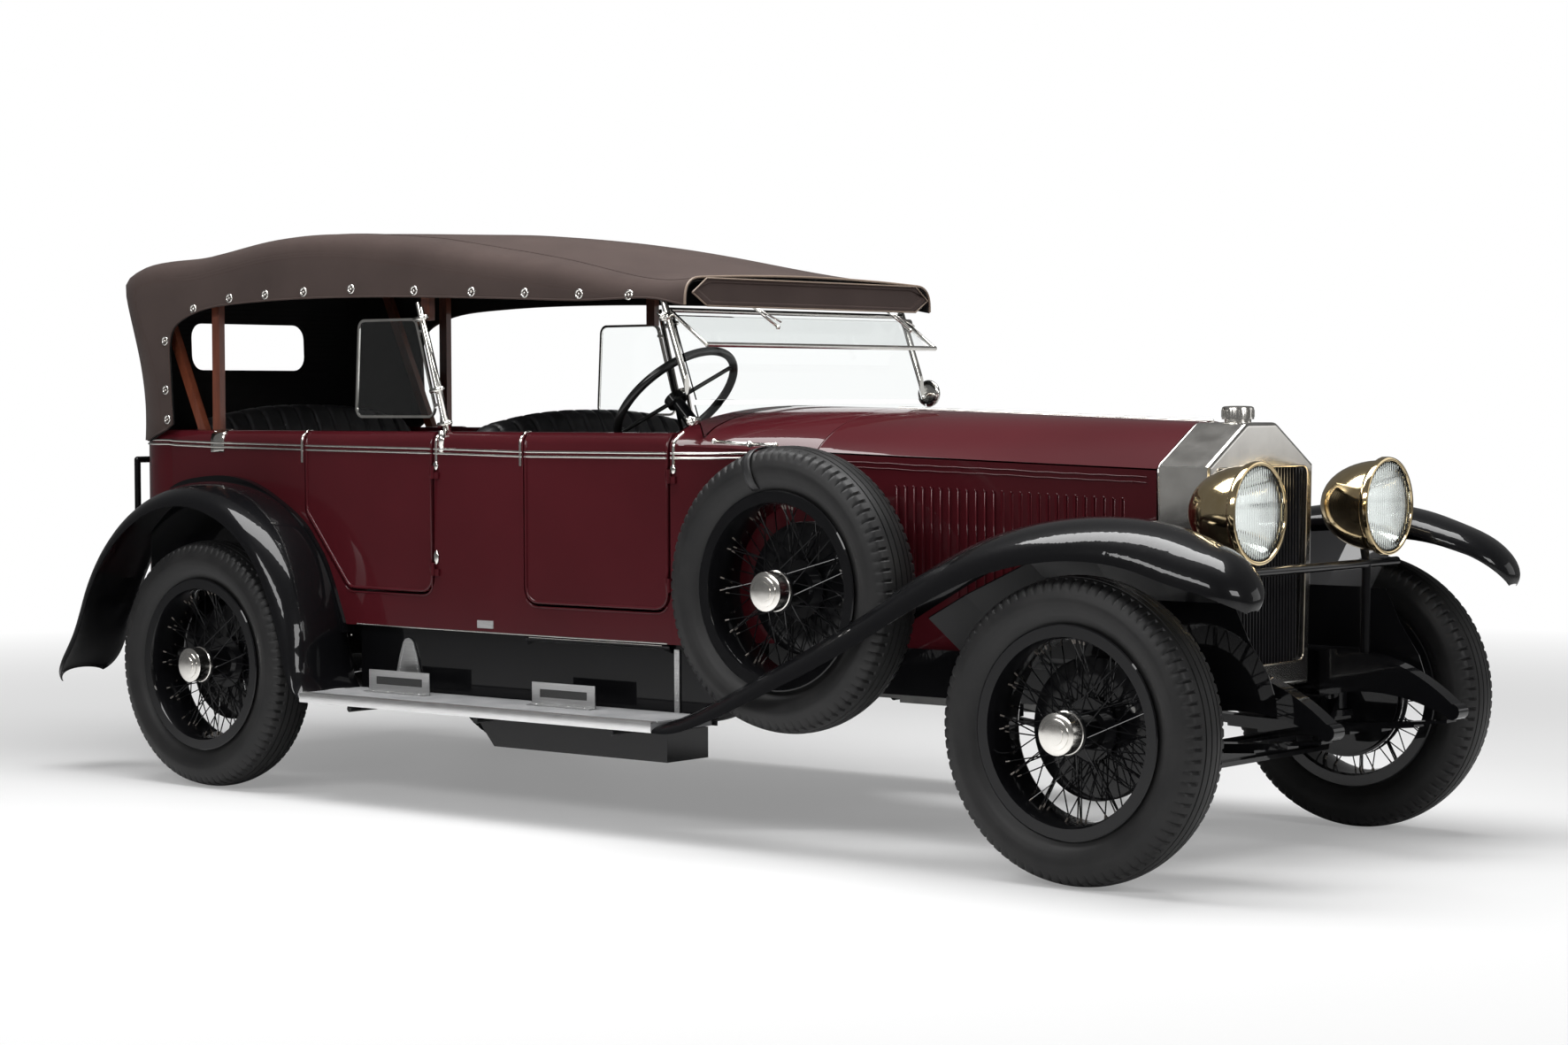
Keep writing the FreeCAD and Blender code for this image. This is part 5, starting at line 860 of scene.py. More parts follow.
def add_body_strap(side):
    # a flat bright band over the body's edge behind the rear door
    tree = skin_tree("body_tub")
    rows = []
    for shift, lift in strap_section:
        path = over_edge(tree, strap_x + shift, side, strap_low_z)
        rows.append([p + along_y * side * lift * (p.z < strap_side_z) + along_z * lift * (p.z > strap_top_z)
                     for p in path])
    count = min(len(row) for row in rows)
    strap = Shape()
    strap.sweep([row[:count] for row in rows])
    thicken(strap.piece("bright_body_strap_" + side_name(side), "nickel"), trim_thickness)


on_both_sides(add_belt, add_door_beads, add_cappings)


# Hood

pivot_x = rear_axle_x - 0.250
pivot_z = 1.55
hood_half = 0.640
hood_front_x = front_axle_x - 1.605
hood_low_z = 1.2225
wheelbase = 3.7
body_top = 1.2623
hood_rise = 0.6977
# the lower edge's line as shares of the wheelbase and of the hood's rise
hood_edge_shares = (
    (-0.1105, 0.018), (-0.1138, 0.299), (-0.1143, 0.447), (-0.1065, 0.536), (-0.0849, 0.592),
    (-0.0508, 0.632), (0.0076, 0.652), (0.0886, 0.662), (0.2051, 0.656), (0.34, 0.632), (0.4416, 0.610),
    (0.52, 0.612), (0.555, 0.585), (0.58, 0.560))
hood_edge = [Vector((rear_axle_x + wheelbase * along, body_top + hood_rise * up))
             for along, up in hood_edge_shares]
hood_foot = Vector((rear_axle_x - 0.571, hood_low_z))
foot_rows = 16
tail_rows = 22
roof_rows = 58
front_setback = 0.001
side_steps = 8
corner_steps = 12
top_steps = 18
hood_corner = 0.17
corner_share = 0.8
probe_y = 0.35
probe_ray = 1.6
least_side = 0.02
short_side = 0.10
edge_lift = 0.003
bow_tops = (rear_axle_x - 0.640, rear_axle_x - 0.229, rear_axle_x + 0.866, hood_front_x - 0.03)
bow_sag = 0.007
relax_rounds = 3
relax_share = 0.35
hood_middle = Vector((-1.0, 0, 1.3))
tiny = 1e-9
sheet_thickness = 0.003
lining_inset = 0.0085
lining_thickness = 0.002
hood_crease_degrees = 50
window_half_y = 0.290
window_low_z = 1.481
window_high_z = 1.668
window_corner = 0.060
cutter_span = (-2.7, -2.25)
behind_x = -3.0
cloth_side_y = 1.0
cloth_side_ray = 0.6
shoulder_start = 0.7
shoulder_ray = 0.75
roof_start = 0.4
roof_ray = 0.8
share_slack = 0.001
sag_power = 0.8


def smooth_edge(points, steps=6):
    # a Catmull-Rom line through the points
    line = []
    for k in range(len(points) - 1):
        p0, p1, p2, p3 = (points[min(max(k + shift, 0), len(points) - 1)] for shift in (-1, 0, 1, 2))
        for t in spaced(0, 1, steps)[:-1]:
            line.append(0.5 * ((2 * p1) + (p2 - p0) * t + (2 * p0 - 5 * p1 + 4 * p2 - p3) * t * t
                               + (3 * p1 - p0 - 3 * p2 + p3) * t ** 3))
    return line + [points[-1]]


edge_line = [hood_foot] + smooth_edge(hood_edge)


def edge_reach(origin, direction):
    # how far from the origin the hood's edge line is crossed along the direction
    reaches = []
    for a, b in zip(edge_line, edge_line[1:]):
        run = b - a
        across = direction.x * run.y - direction.y * run.x
        if abs(across) < tiny:
            continue
        gap = a - origin
        along = (gap.x * run.y - gap.y * run.x) / across
        share = (gap.x * direction.y - gap.y * direction.x) / across
        if -share_slack <= share <= 1 + share_slack and along > 0:
            reaches.append(along)
    return min(reaches, default=None)


def hood_planes():
    # (origin, outward direction) of every row, from the tail's foot forward to the front edge
    planes = [(Vector((pivot_x, z)), Vector((-1, 0))) for z in spaced(hood_low_z, pivot_z, foot_rows)[:-1]]
    for angle in spaced(0, math.pi / 2, tail_rows):
        planes.append((Vector((pivot_x, pivot_z)), Vector((-math.cos(angle), math.sin(angle)))))
    for x in spaced(pivot_x, hood_front_x - front_setback, roof_rows)[1:]:
        planes.append((Vector((x, pivot_z)), Vector((0, 1))))
    return planes


def hood_half_row(tree, origin, out):
    # from the side's lower edge up, round the shoulder and to the middle of the roof
    def at(y, reach):
        flat = origin + out * reach
        return Vector((flat.x, y, flat.y))

    out3 = Vector((out.x, 0, out.y))
    crown = cast(tree, at(probe_y, probe_ray), -out3, probe_ray)
    high = (crown - at(probe_y, 0)).dot(out3)
    low = edge_reach(origin, out)
    if low is None or low > high - least_side:
        low = high - short_side
    low += edge_lift
    corner = min(hood_corner, (high - low) * corner_share)
    row = []
    for reach in spaced(low, high - corner, side_steps)[:-1]:
        row.append(cast(tree, at(cloth_side_y, reach), -along_y, cloth_side_ray) or at(hood_half, reach))
    start = at(hood_half - corner, high - corner)
    for angle in spaced(0, math.pi / 2, corner_steps)[:-1]:
        direction = along_y * math.cos(angle) + out3 * math.sin(angle)
        place = cast(tree, start + direction * shoulder_start, -direction, shoulder_ray)
        row.append(place or start + direction * corner)
    for y in spaced(hood_half - corner, 0, top_steps):
        row.append(cast(tree, at(y, high + roof_start), -out3, roof_ray) or at(y, high))
    return row


def relaxed(rows, rounds):
    # even out the steps between neighbouring rows, as stretched cloth does
    for _ in range(rounds):
        fresh = [row[:] for row in rows]
        for i in range(1, len(rows) - 1):
            for k in range(1, len(rows[i])):
                after = rows[i][k + 1] if k + 1 < len(rows[i]) else rows[i][k - 1]
                middle = (rows[i - 1][k] + rows[i + 1][k] + rows[i][k - 1] + after) / 4
                fresh[i][k] = rows[i][k].lerp(middle, relax_share)
        rows = fresh
        for row in rows:
            row[-1].y = 0.0
    return rows


def sagged(rows):
    # the cloth dips a little between the bows and shows each bow as a soft ridge
    for (origin, out), row in zip(hood_planes(), rows):
        for low, high in zip(bow_tops, bow_tops[1:]):
            if low < origin.x < high and out.x > -tiny:
                dip = bow_sag * math.sin(math.pi * (origin.x - low) / (high - low)) ** sag_power
                for k, point in enumerate(row):
                    point.z -= dip * max(0.0, min(1.0, (k - side_steps) / corner_steps))
    return rows


def moved_in(half_rows, i, k, inset):
    # one point, moved in by the inset along the sheet's normal there
    row = half_rows[i]
    along = half_rows[min(i + 1, len(half_rows) - 1)][k] - half_rows[max(i - 1, 0)][k]
    across = row[min(k + 1, len(row) - 1)] - row[max(k - 1, 0)]
    normal = across.cross(along)
    if normal.length < tiny:
        normal = along_y.copy()
    normal.normalize()
    if normal.dot(row[k] - hood_middle) < 0:
        normal = -normal
    return row[k] - normal * inset


def full_rows(half_rows, inset):
    # both sides of each row
    rows = []
    for i in range(len(half_rows)):
        row = [moved_in(half_rows, i, k, inset) for k in range(len(half_rows[i]))]
        left = row[:-1]
        middle = Vector((row[-1].x, 0.0, row[-1].z))
        rows.append(left + [middle] + [Vector((p.x, -p.y, p.z)) for p in reversed(left)])
    return rows


def carve(obj, outline, x_low, x_high):
    # cut a hole of this outline through the piece, along X
    count = len(outline)
    cut = Shape()
    cut.sweep([[(x, y, z) for y, z in outline] for x in (x_low, x_high)], closed=True)
    cut.faces += [tuple(range(count)), tuple(range(count, count * 2))]
    cutter = bpy.data.objects.new("cutter", built_mesh("cutter", cut.verts, cut.faces, smooth=False))
    bpy.context.scene.collection.objects.link(cutter)
    modifier = obj.modifiers.new("hole", "BOOLEAN")
    modifier.operation = "DIFFERENCE"
    modifier.solver = "EXACT"
    modifier.object = cutter
    settle(obj)
    bpy.data.objects.remove(cutter)


window_outline = rounded(
    [(y * (window_half_y - window_corner), z) for y, z in (
        (LEFT, window_high_z - window_corner), (RIGHT, window_high_z - window_corner),
        (RIGHT, window_low_z + window_corner), (LEFT, window_low_z + window_corner))], window_corner)


def hood_sheet(name, rows, look, thickness):
    shape = Shape()
    shape.sweep(rows)
    obj = shape.piece(name, look)
    thicken(obj, thickness)
    return obj


def cut_window(obj):
    settle(obj)
    carve(obj, window_outline, *cutter_span)
    obj.data.shade_smooth()
    work = bmesh.new()
    work.from_mesh(obj.data)
    harden(work, hood_crease_degrees)
    work.to_mesh(obj.data)
    work.free()


def add_hood():
    tree = skin_tree("hood_canopy")
    half_rows = [hood_half_row(tree, origin, out) for origin, out in hood_planes()]
    half_rows = sagged(relaxed(half_rows, relax_rounds))
    outer = full_rows(half_rows, 0.0)
    canopy = hood_sheet("hood_cloth", outer, "canvas", sheet_thickness)
    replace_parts(canopy, "hood_canopy")
    lining = hood_sheet("hood_lining", full_rows(half_rows, lining_inset), "lining", lining_thickness)
    cut_window(canopy)
    cut_window(lining)
    return outer


# Hood trim

eyelet_places = ((-2.010, 1.702), (-1.810, 1.736), (-1.616, 1.744), (-1.413, 1.749), (-1.168, 1.753),
                 (-0.854, 1.740), (-0.578, 1.729), (-0.330, 1.719), (-0.084, 1.710), (0.133, 1.702))
# (distance behind the edge, z) of those beside the rear quarter
eyelet_quarter = ((0.030, 1.300), (0.032, 1.408), (0.030, 1.588))
eyelet_radius = 0.0175
# (share of the radius, lift) of the turned ring and of its middle stud
eyelet_ring = ((1.0, 0.0002), (0.96, 0.0020), (0.84, 0.0032), (0.68, 0.0026), (0.56, 0.0006))
eyelet_stud = ((0.24, 0.0004), (0.22, 0.0024), (0.12, 0.0032), (0.02, 0.0034))
quarter_edge_x = rear_axle_x - 0.35
hem_radius = 0.0036
front_piping_radius = 0.0042
front_piping_lift = Vector((0.002, 0, 0))
window_binding_radius = 0.0048
window_binding_lift = Vector((-0.001, 0, 0))
seam_radius = 0.0017
seam_lift = Vector((0, 0, 0.0004))
seam_first_row = 20
front_panel_x = hood_front_x + 0.0065
front_panel_z = 1.708
front_panel = [(-0.615, 1.705), (-0.545, 1.752), (0.545, 1.752), (0.615, 1.705), (0.545, 1.664),
               (-0.545, 1.664)]
front_panel_steps = ((0.0, 0.0), (0.004, 0.0035), (0.012, 0.0035), (0.016, 0.0010))
front_panel_taper = 1.6
panel_piping_lift = 0.0045
panel_piping_radius = 0.0028


def edge_x(z):
    # the quarter's edge at this level
    points = [p for p in edge_line if p.x < quarter_edge_x]
    for a, b in zip(points, points[1:]):
        if min(a.y, b.y) <= z <= max(a.y, b.y):
            return a.x + (b.x - a.x) * (z - a.y) / (b.y - a.y)


def add_eyelets(tree):
    eyelets = Shape()
    quarter = tuple((edge_x(z) - shift, z) for shift, z in eyelet_quarter)
    for side in SIDES:
        for x, z in eyelet_places + quarter:
            start = Vector((x, side * cloth_side_y, z))
            place, normal, _, _ = tree.ray_cast(start, -along_y * side, cloth_side_ray)
            if normal.y * side < 0:
                normal = -normal
            across = normal.orthogonal().normalized()
            for profile in (eyelet_ring, eyelet_stud):
                rows = [ring(place + normal * lift, across, normal.cross(across), eyelet_radius * share, 20)
                        for share, lift in profile]
                eyelets.sweep(rows, closed=True)
    eyelets.piece("hood_eyelets", "nickel")


def add_hood_trim(outer):
    # the bound hem along each side, the front piping, the rear window's binding and the shoulder seams
    width = len(outer[0])
    line_piece("hood_hem", [[row[k] for row in outer] for k in (0, width - 1)], hem_radius, "canvas")
    front = [p + front_piping_lift for p in outer[-1]]
    line_piece("hood_front_piping", [front], front_piping_radius, "piping")
    sheet = Shape()
    sheet.sweep(outer)
    tree = BVHTree.FromPolygons(sheet.verts, sheet.faces)
    binding = [cast(tree, (behind_x, y, z), along_x, roof_ray) + window_binding_lift
               for y, z in window_outline + window_outline[:1]]
    line_piece("rear_window_binding", [binding], window_binding_radius, "lining")
    add_eyelets(tree)
    shoulder = side_steps + corner_steps
    seams = [[row[k] + seam_lift for row in outer[seam_first_row:]]
             for k in (shoulder - 1, width - shoulder)]
    line_piece("hood_seams", seams, seam_radius, "canvas")


def add_front_panel():
    # the stiff front face under the roof: a bound panel with tapered ends
    shape = Shape()
    rows = []
    for inset, lift in front_panel_steps:
        rows.append([Vector((front_panel_x + lift, y - math.copysign(inset, y) * front_panel_taper,
                             z - math.copysign(inset, z - front_panel_z))) for y, z in front_panel])
    shape.sweep(rows, closed=True)
    shape.plate(rows[-1])
    shape.piece("hood_front_panel", "canvas", smooth=False)
    path = [(front_panel_x + panel_piping_lift, y, z) for y, z in front_panel + front_panel[:1]]
    line_piece("front_panel_piping", [path], panel_piping_radius, "piping")


add_hood_trim(add_hood())
add_front_panel()


# Lamps

lamp_y = 0.374
lamp_z = 1.040
lamp_front_x = front_axle_x + 0.330
lamp_back_x = lamp_front_x - 0.220
bowl_radius = 0.1385
bowl_length = 0.194
bowl_power = 0.86
# (radius, distance behind the front)
rim_section = ((0.1385, 0.027), (0.1450, 0.0262), (0.1488, 0.021), (0.1490, 0.010), (0.1470, 0.002),
               (0.1420, 0.0), (0.1370, 0.0015), (0.1350, 0.006), (0.1350, 0.014))
dish_radius = 0.134
dish_foot = 0.052
dish_depth = 0.140
lens_radius = 0.1345
lens_setback = 0.009
lens_crown = 0.007
lens_thickness = 0.0035
# (radius, distance ahead of the back)
bulb_section = ((0.0, 0.118), (0.008, 0.115), (0.011, 0.105), (0.010, 0.092), (0.007, 0.080), (0.014, 0.079),
                (0.015, 0.055))
latch_low = (-0.030, -0.012, 0.134)
latch_high = (-0.006, 0.012, 0.1485)
latch_chamfer = 0.003


def add_lamps():
    brass = Shape()
    silver = Shape()
    lens = Shape()
    bulb = Shape()
    bowl = [(bowl_radius * math.sin(angle) ** bowl_power, lamp_back_x + bowl_length * (1 - math.cos(angle)))
            for angle in spaced(0, math.pi / 2, 14)]
    rim = [(radius, lamp_front_x - behind) for radius, behind in rim_section]
    dish = [(dish_radius * share, lamp_back_x + dish_foot + dish_depth * share ** 2)
            for share in spaced(0, 1, 16)]
    face = [(lens_radius * share, lamp_front_x - lens_setback + lens_crown * (1 - share ** 2))
            for share in spaced(0, 1, 12)]
    back = [(radius, along - lens_thickness) for radius, along in reversed(face)]
    for side in SIDES:
        centre = (0, side * lamp_y, lamp_z)
        brass.lathe(bowl + rim, 72, centre, "X")
        silver.lathe(dish, 60, centre, "X")
        lens.lathe(face + back, 72, centre, "X")
        bulb.lathe([(radius, lamp_back_x + ahead) for radius, ahead in bulb_section], 20, centre, "X")
        latch = Vector((lamp_front_x, side * lamp_y, lamp_z))
        brass.block(latch + Vector(latch_low), latch + Vector(latch_high), latch_chamfer)
    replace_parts(brass.piece("brass_lamp_shells", "brass", crease=40), "headlamps")
    silver.piece("lamp_reflectors", "silver")
    lens.piece("lamp_lenses", "lens")
    bulb.piece("lamp_bulbs", "silver")


add_lamps()


# Running boards

board_front_x = front_axle_x - 1.5303
board_rear_x = rear_axle_x + 0.5547
board_outer_y = 0.890
board_inner_y = 0.604
board_top_z = 0.368
mat_pitch = 0.0115
mat_inner_y = board_inner_y + 0.010
mat_outer_y = board_outer_y - 0.026
mat_end_gap = 0.006
mat_rib = ((0.0, 0.0004), (0.0022, 0.0030), (0.0072, 0.0030), (0.0094, 0.0004))
# (outwards from the board's edge, up from its top)
edge_section = ((-0.026, 0.0004), (-0.024, 0.0042), (-0.004, 0.0046), (0.0012, 0.0026), (0.0030, -0.004),
                (0.0030, -0.026), (0.0010, -0.030), (-0.004, -0.0305))
edge_overhang = 0.001
sill_z = 0.5925
sill_start_x = board_rear_x + 0.02
sill_end_x = 0.55
sill_step = 0.05
sill_radius = 0.0028
kick_spans = ((-1.0225, -0.7265), (-0.2445, 0.0375))
kick_low_z = board_top_z + 0.003
kick_high_z = 0.446
kick_y = 0.700
kick_thickness = 0.004
kick_chamfer = 0.0006
kick_side_bar = 0.036
kick_low_bar = 0.026
kick_high_bar = 0.022
kick_foot = (-0.002, 0.030)
kick_foot_chamfer = 0.0008
kick_foot_top_z = kick_low_z + 0.0035
kick_rivet_shares = (0.12, 0.373, 0.626, 0.879)
kick_rivet_inset = 0.018
kick_rivet_radius = 0.0040
kick_mesh_lift = 0.0012
kick_mesh_thickness = 0.001


def board_sweep(name, section, start_x, end_x, side, look, **finish):
    # one (y, lift) section drawn along the board
    shape = Shape()
    shape.sweep([[(x, side * y, board_top_z + lift) for y, lift in section] for x in (start_x, end_x)])
    shape.piece(name + "_" + side_name(side), look, **finish)


def add_board(side):
    ribs = range(int((mat_outer_y - mat_inner_y) / mat_pitch))
    mat = [(mat_inner_y + mat_pitch * rib + y, lift) for rib in ribs for y, lift in mat_rib]
    board_sweep("board_mat", mat, board_rear_x + mat_end_gap, board_front_x - mat_end_gap, side, "board",
                smooth=False)
    edge = [(board_outer_y + out, up) for out, up in edge_section]
    board_sweep("board_edge", edge, board_rear_x - edge_overhang, board_front_x + edge_overhang, side,
                "aluminium", crease=30)
    # thin bright line along the body's foot
    steps = math.ceil((sill_end_x - sill_start_x) / sill_step)
    places = [(sill_start_x + sill_step * k, sill_z) for k in range(steps)]
    line_piece("sill_line_" + side_name(side), [side_path(skin_tree("body_tub"), places, side)], sill_radius,
               "nickel")
    add_kick_plates(side)


def add_kick_plates(side):
    # two angle plates standing on the board, each with a mesh window
    frames = Shape()
    meshes = Shape()
    face_y = side * kick_y
    low_z = kick_low_z + kick_low_bar
    high_z = kick_high_z - kick_high_bar
    for x_low, x_high in kick_spans:
        for xs, zs in (((x_low, x_high), (kick_low_z, low_z)), ((x_low, x_high), (high_z, kick_high_z)),
                       ((x_low, x_low + kick_side_bar), (low_z, high_z)),
                       ((x_high - kick_side_bar, x_high), (low_z, high_z))):
            frames.slab(xs, (face_y, face_y + side * kick_thickness), zs, kick_chamfer)
        frames.slab((x_low, x_high), [face_y + side * y for y in kick_foot], (kick_low_z, kick_foot_top_z),
                    kick_foot_chamfer)
        for share in kick_rivet_shares:
            x = x_low + (x_high - x_low) * share
            place = Vector((x, face_y + side * kick_rivet_inset, kick_foot_top_z))
            frames.rivet(place, along_z, kick_rivet_radius)
        mesh_top = kick_high_z - kick_mesh_thickness
        meshes.plate([(x, face_y + side * kick_mesh_lift, z) for x, z in (
            (x_low, kick_low_z), (x_high, kick_low_z), (x_high, mesh_top), (x_low, mesh_top))])
    frames.piece("kick_plate_frames_" + side_name(side), "aluminium", smooth=False)
    thicken(meshes.piece("kick_plate_mesh_" + side_name(side), "mesh", smooth=False), kick_mesh_thickness)


on_both_sides(add_board)


# Side fittings

bracket_x = -0.925
bracket_y = board_inner_y + 0.002
bracket_depth = 0.005
bracket_half = ((0.066, 0.0), (0.060, 0.060), (0.044, 0.120), (0.026, 0.168), (0.015, 0.180))
bracket_tip_z = 0.184
bracket_outline = ([(-bracket_half[0][0], 0.0)] + list(bracket_half) + [(0.0, bracket_tip_z)]
                   + [(-x, z) for x, z in reversed(bracket_half[1:])])
bracket_rivet_rows = 16
bracket_rivet_foot = 0.012
bracket_rivet_rise = 0.150
bracket_rivet_half = 0.056
bracket_rivet_taper = 0.036
bracket_rivet_power = 1.3
bracket_rivet_radius = 0.0026
strut_x = 0.3065
strut_half = 0.011
strut_depth = 0.004
strut_top_z = 0.571
strut_rivet_foot = 0.018
strut_rivet_pitch = 0.022
strut_rivet_radius = 0.0032
plate_span = (-0.546, -0.470)
plate_levels = (0.606, 0.632)
plate_probe = (-0.508, 0.620)
plate_back = -0.001
plate_front = 0.003
fitting_chamfer = 0.001
stud_place = (rear_axle_x + 0.50, board_inner_y + 0.0002, 0.550)
stud_radius = 0.007


def add_side_fittings(side):
    # the riveted step bracket and strut, seen on the right, the blank plate on the sill and the stud
    out = along_y * side
    plate = Shape()
    foot = Vector((bracket_x, side * bracket_y, board_top_z))
    face = foot + out * bracket_depth
    back, front = ([start + Vector((x, 0, z)) for x, z in bracket_outline] for start in (foot, face))
    plate.sweep([back, front], closed=True)
    plate.plate(front)
    plate.plate(back)
    for share in spaced(0, 1, bracket_rivet_rows):
        half = bracket_rivet_half - bracket_rivet_taper * share ** bracket_rivet_power
        for x in (-half, half):
            place = face + Vector((x, 0, bracket_rivet_foot + bracket_rivet_rise * share))
            plate.rivet(place, out, bracket_rivet_radius)
    plate.piece("step_bracket_" + side_name(side), "aluminium", smooth=False)
    strut = Shape()
    strut_y = foot.y + side * strut_depth
    strut.slab((strut_x - strut_half, strut_x + strut_half), (foot.y, strut_y), (board_top_z, strut_top_z),
               fitting_chamfer)
    for step in range(9):
        level = board_top_z + strut_rivet_foot + strut_rivet_pitch * step
        strut.rivet(Vector((strut_x, strut_y, level)), out, strut_rivet_radius)
    strut.piece("riveted_strut_" + side_name(side), "aluminium", smooth=False)
    sill = Shape()
    skin_y = side_point(skin_tree("body_tub"), *plate_probe, side).y
    plate_ys = [skin_y + side * y for y in (plate_back, plate_front)]
    sill.slab(plate_span, plate_ys, plate_levels, fitting_chamfer)
    sill.piece("blank_sill_plate_" + side_name(side), "aluminium", smooth=False)
    stud = Shape()
    stud.rivet(Vector((stud_place[0], side * stud_place[1], stud_place[2])), out, stud_radius)
    stud.piece("side_stud_" + side_name(side), "nickel")


on_both_sides(add_side_fittings)


# Radiator

shell_front_x = front_axle_x + 0.110
shell_back_x = front_axle_x - 0.060
grille_low_half = 0.2431
grille_high_half = 0.2640
grille_low_z = 0.570
grille_high_z = 1.164
grille_corner = 0.028
grille_bead_inset = 0.002
grille_bead_setback = 0.0015
grille_bead_radius = 0.0034
cap_proud = 0.0015
# (radius, distance below the cap's top)
cap_section = ((0.0, 0.0), (0.020, 0.0002), (0.0405, 0.0014), (0.0462, 0.0045), (0.0478, 0.0090),
               (0.0478, 0.0400), (0.0400, 0.0402), (0.0395, 0.0500))
cap_radius = 0.0478
cap_flute_radius = 0.0016
cap_flute_span = (0.034, 0.012)
cap_flutes = 32
rest_turns = (-8, 188)
rest_centre_z = 0.98
rest_ray_start = 0.9
rest_ray = 0.85
rest_inset = 0.004
rest_radius = 0.0042
bonnet_rests = (
    # (node, x, where its skin is probed, look)
    ("radiator_shell", shell_back_x - 0.0045, shell_back_x + 0.0015, "nickel"),
    ("scuttle", front_axle_x - 1.2405, front_axle_x - 1.2465, "maroon"),
)


def add_radiator_trim():
    # warm bright bead round the grille's opening, and a milled filler cap
    high = (grille_high_half - grille_corner, grille_high_z - grille_corner)
    low = (grille_low_half - grille_corner, grille_low_z + grille_corner)
    corners = (high, (-high[0], high[1]), (-low[0], low[1]), low)
    outline = rounded(corners, grille_corner - grille_bead_inset)
    path = [(shell_front_x - grille_bead_setback, y, z) for y, z in outline]
    line_piece("grille_bead", [path], grille_bead_radius, "warm_bead", closed=True)
    cap = Shape()
    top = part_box("radiator_shell")[1][2] + cap_proud
    centre = Vector(((shell_front_x + shell_back_x) / 2, 0, top))
    cap.lathe([(radius, -below) for radius, below in cap_section], 64, centre, "Z")
    for foot in ring(centre, along_x, along_y, cap_radius, cap_flutes):
        low_end, high_end = (foot - along_z * below for below in cap_flute_span)
        cap.bar(low_end, high_end, cap_flute_radius, 5)
    cap.piece("filler_cap", "nickel", crease=40)


def add_bonnet_rests():
    # lips where the bonnet's ends rest
    for node, x, probe_x, look in bonnet_rests:
        tree = skin_tree(node)
        path = []
        for turn in spaced(*rest_turns, 60):
            out = Vector((0, math.cos(math.radians(turn)), math.sin(math.radians(turn))))
            place = cast(tree, Vector((probe_x, 0, rest_centre_z)) + out * rest_ray_start, -out, rest_ray)
            if place is not None:
                path.append(Vector((x, place.y, place.z)) - out * rest_inset)
        line_piece("bonnet_rest_" + node, [path], rest_radius, look)


add_radiator_trim()
add_bonnet_rests()


# Seats

pad_rounding = 0.07
pad_steps = 72
end_shrink_share = 0.42
pad_reach = 0.012
pad_pressure = 3.0
pad_voxel = 0.012
cloth_frames = 20
cloth_settings = {
    "quality": 4,
    "mass": 0.25,
    "tension_stiffness": 12.0,
    "compression_stiffness": 12.0,
    "shear_stiffness": 5.0,
    "bending_stiffness": 0.4,
    "use_pressure": True,
    "uniform_pressure_force": pad_pressure,
}
pleat_pitch = 0.082
pleat_half_width = 0.016
back_pleat_depth = 0.011
cushion_pleat_depth = 0.010
back_crown = 0.075
crown_power = 2.6
back_bulge = 0.028
cushion_bulge = 0.026
cushion_power = 0.6
cushion_end_share = 0.02
cushion_roll = 0.03
cushion_shoulder = 0.018
cushion_nose = 0.006
pad_side_gap = 0.004
back_gap = 0.012
back_foot = 0.155
back_head = 0.118
back_sink = 0.035
back_top_gap = 0.006
back_roll = 0.052
back_unpleated = 0.020
cushion_start = 0.150
cushion_setback = 0.008
cushion_foot = 0.15
cushion_pleat_drop = 0.09
base_side_gap = 0.01
base_setback = 0.03
base_height = 0.152
base_chamfer = 0.012
piping_end_gap = 0.06
piping_setback = 0.004
piping_drop = 0.030
piping_radius = 0.0045
seats = (
    # (name, back x, front x, floor z, cushion z, top z, half width)
    ("front", front_axle_x - 2.680, front_axle_x - 2.010, 0.640, 0.960, 1.352, 0.575),
    ("rear", rear_axle_x - 0.470, rear_axle_x + 0.210, 0.738, 0.980, 1.372, 0.537),
)


def pad_shape(outline, half, crown):
    # outline: closed (x, z) points; the ends pull in as a stuffed pad's do
    rows = []
    centre_x = sum(x for x, _ in outline) / len(outline)
    centre_z = sum(z for _, z in outline) / len(outline)
    high = max(z for _, z in outline) - centre_z
    for t in spaced(-1, 1, pad_steps):
        edge_share = max(0.0, (half * abs(t) - (half - pad_rounding)) / pad_rounding)
        shrink = 1 - end_shrink_share * (1 - math.sqrt(max(1 - edge_share ** 2, 0.0)))
        row = []
        for x, z in outline:
            drop = crown * max(z - centre_z, 0.0) / high * abs(t) ** crown_power
            row.append((centre_x + (x - centre_x) * shrink, half * t,
                        centre_z + (z - centre_z) * shrink - drop))
        rows.append(row)
    shape = Shape()
    shape.sweep(rows, closed=True)
    shape.plate(rows[0])
    shape.plate(rows[-1])
    return shape


def swell(obj):
    # inflate the pad as cloth, then keep it from moving further than its reach
    remesh = obj.modifiers.new("remesh", "REMESH")
    remesh.mode = "VOXEL"
    remesh.voxel_size = pad_voxel
    settle(obj)
    rest = [vert.co.copy() for vert in obj.data.vertices]
    cloth = obj.modifiers.new("cloth", "CLOTH")
    for name, value in cloth_settings.items():
        setattr(cloth.settings, name, value)
    cloth.settings.effector_weights.gravity = 0.0
    cloth.collision_settings.use_collision = False
    cloth.point_cache.frame_start = 1
    cloth.point_cache.frame_end = cloth_frames
    scene = bpy.context.scene
    for step in range(1, cloth_frames + 1):
        scene.frame_set(step)
    settle(obj)
    scene.frame_set(1)
    for vert, start in zip(obj.data.vertices, rest):
        move = vert.co - start
        if move.length > pad_reach:
            vert.co = start + move.normalized() * pad_reach


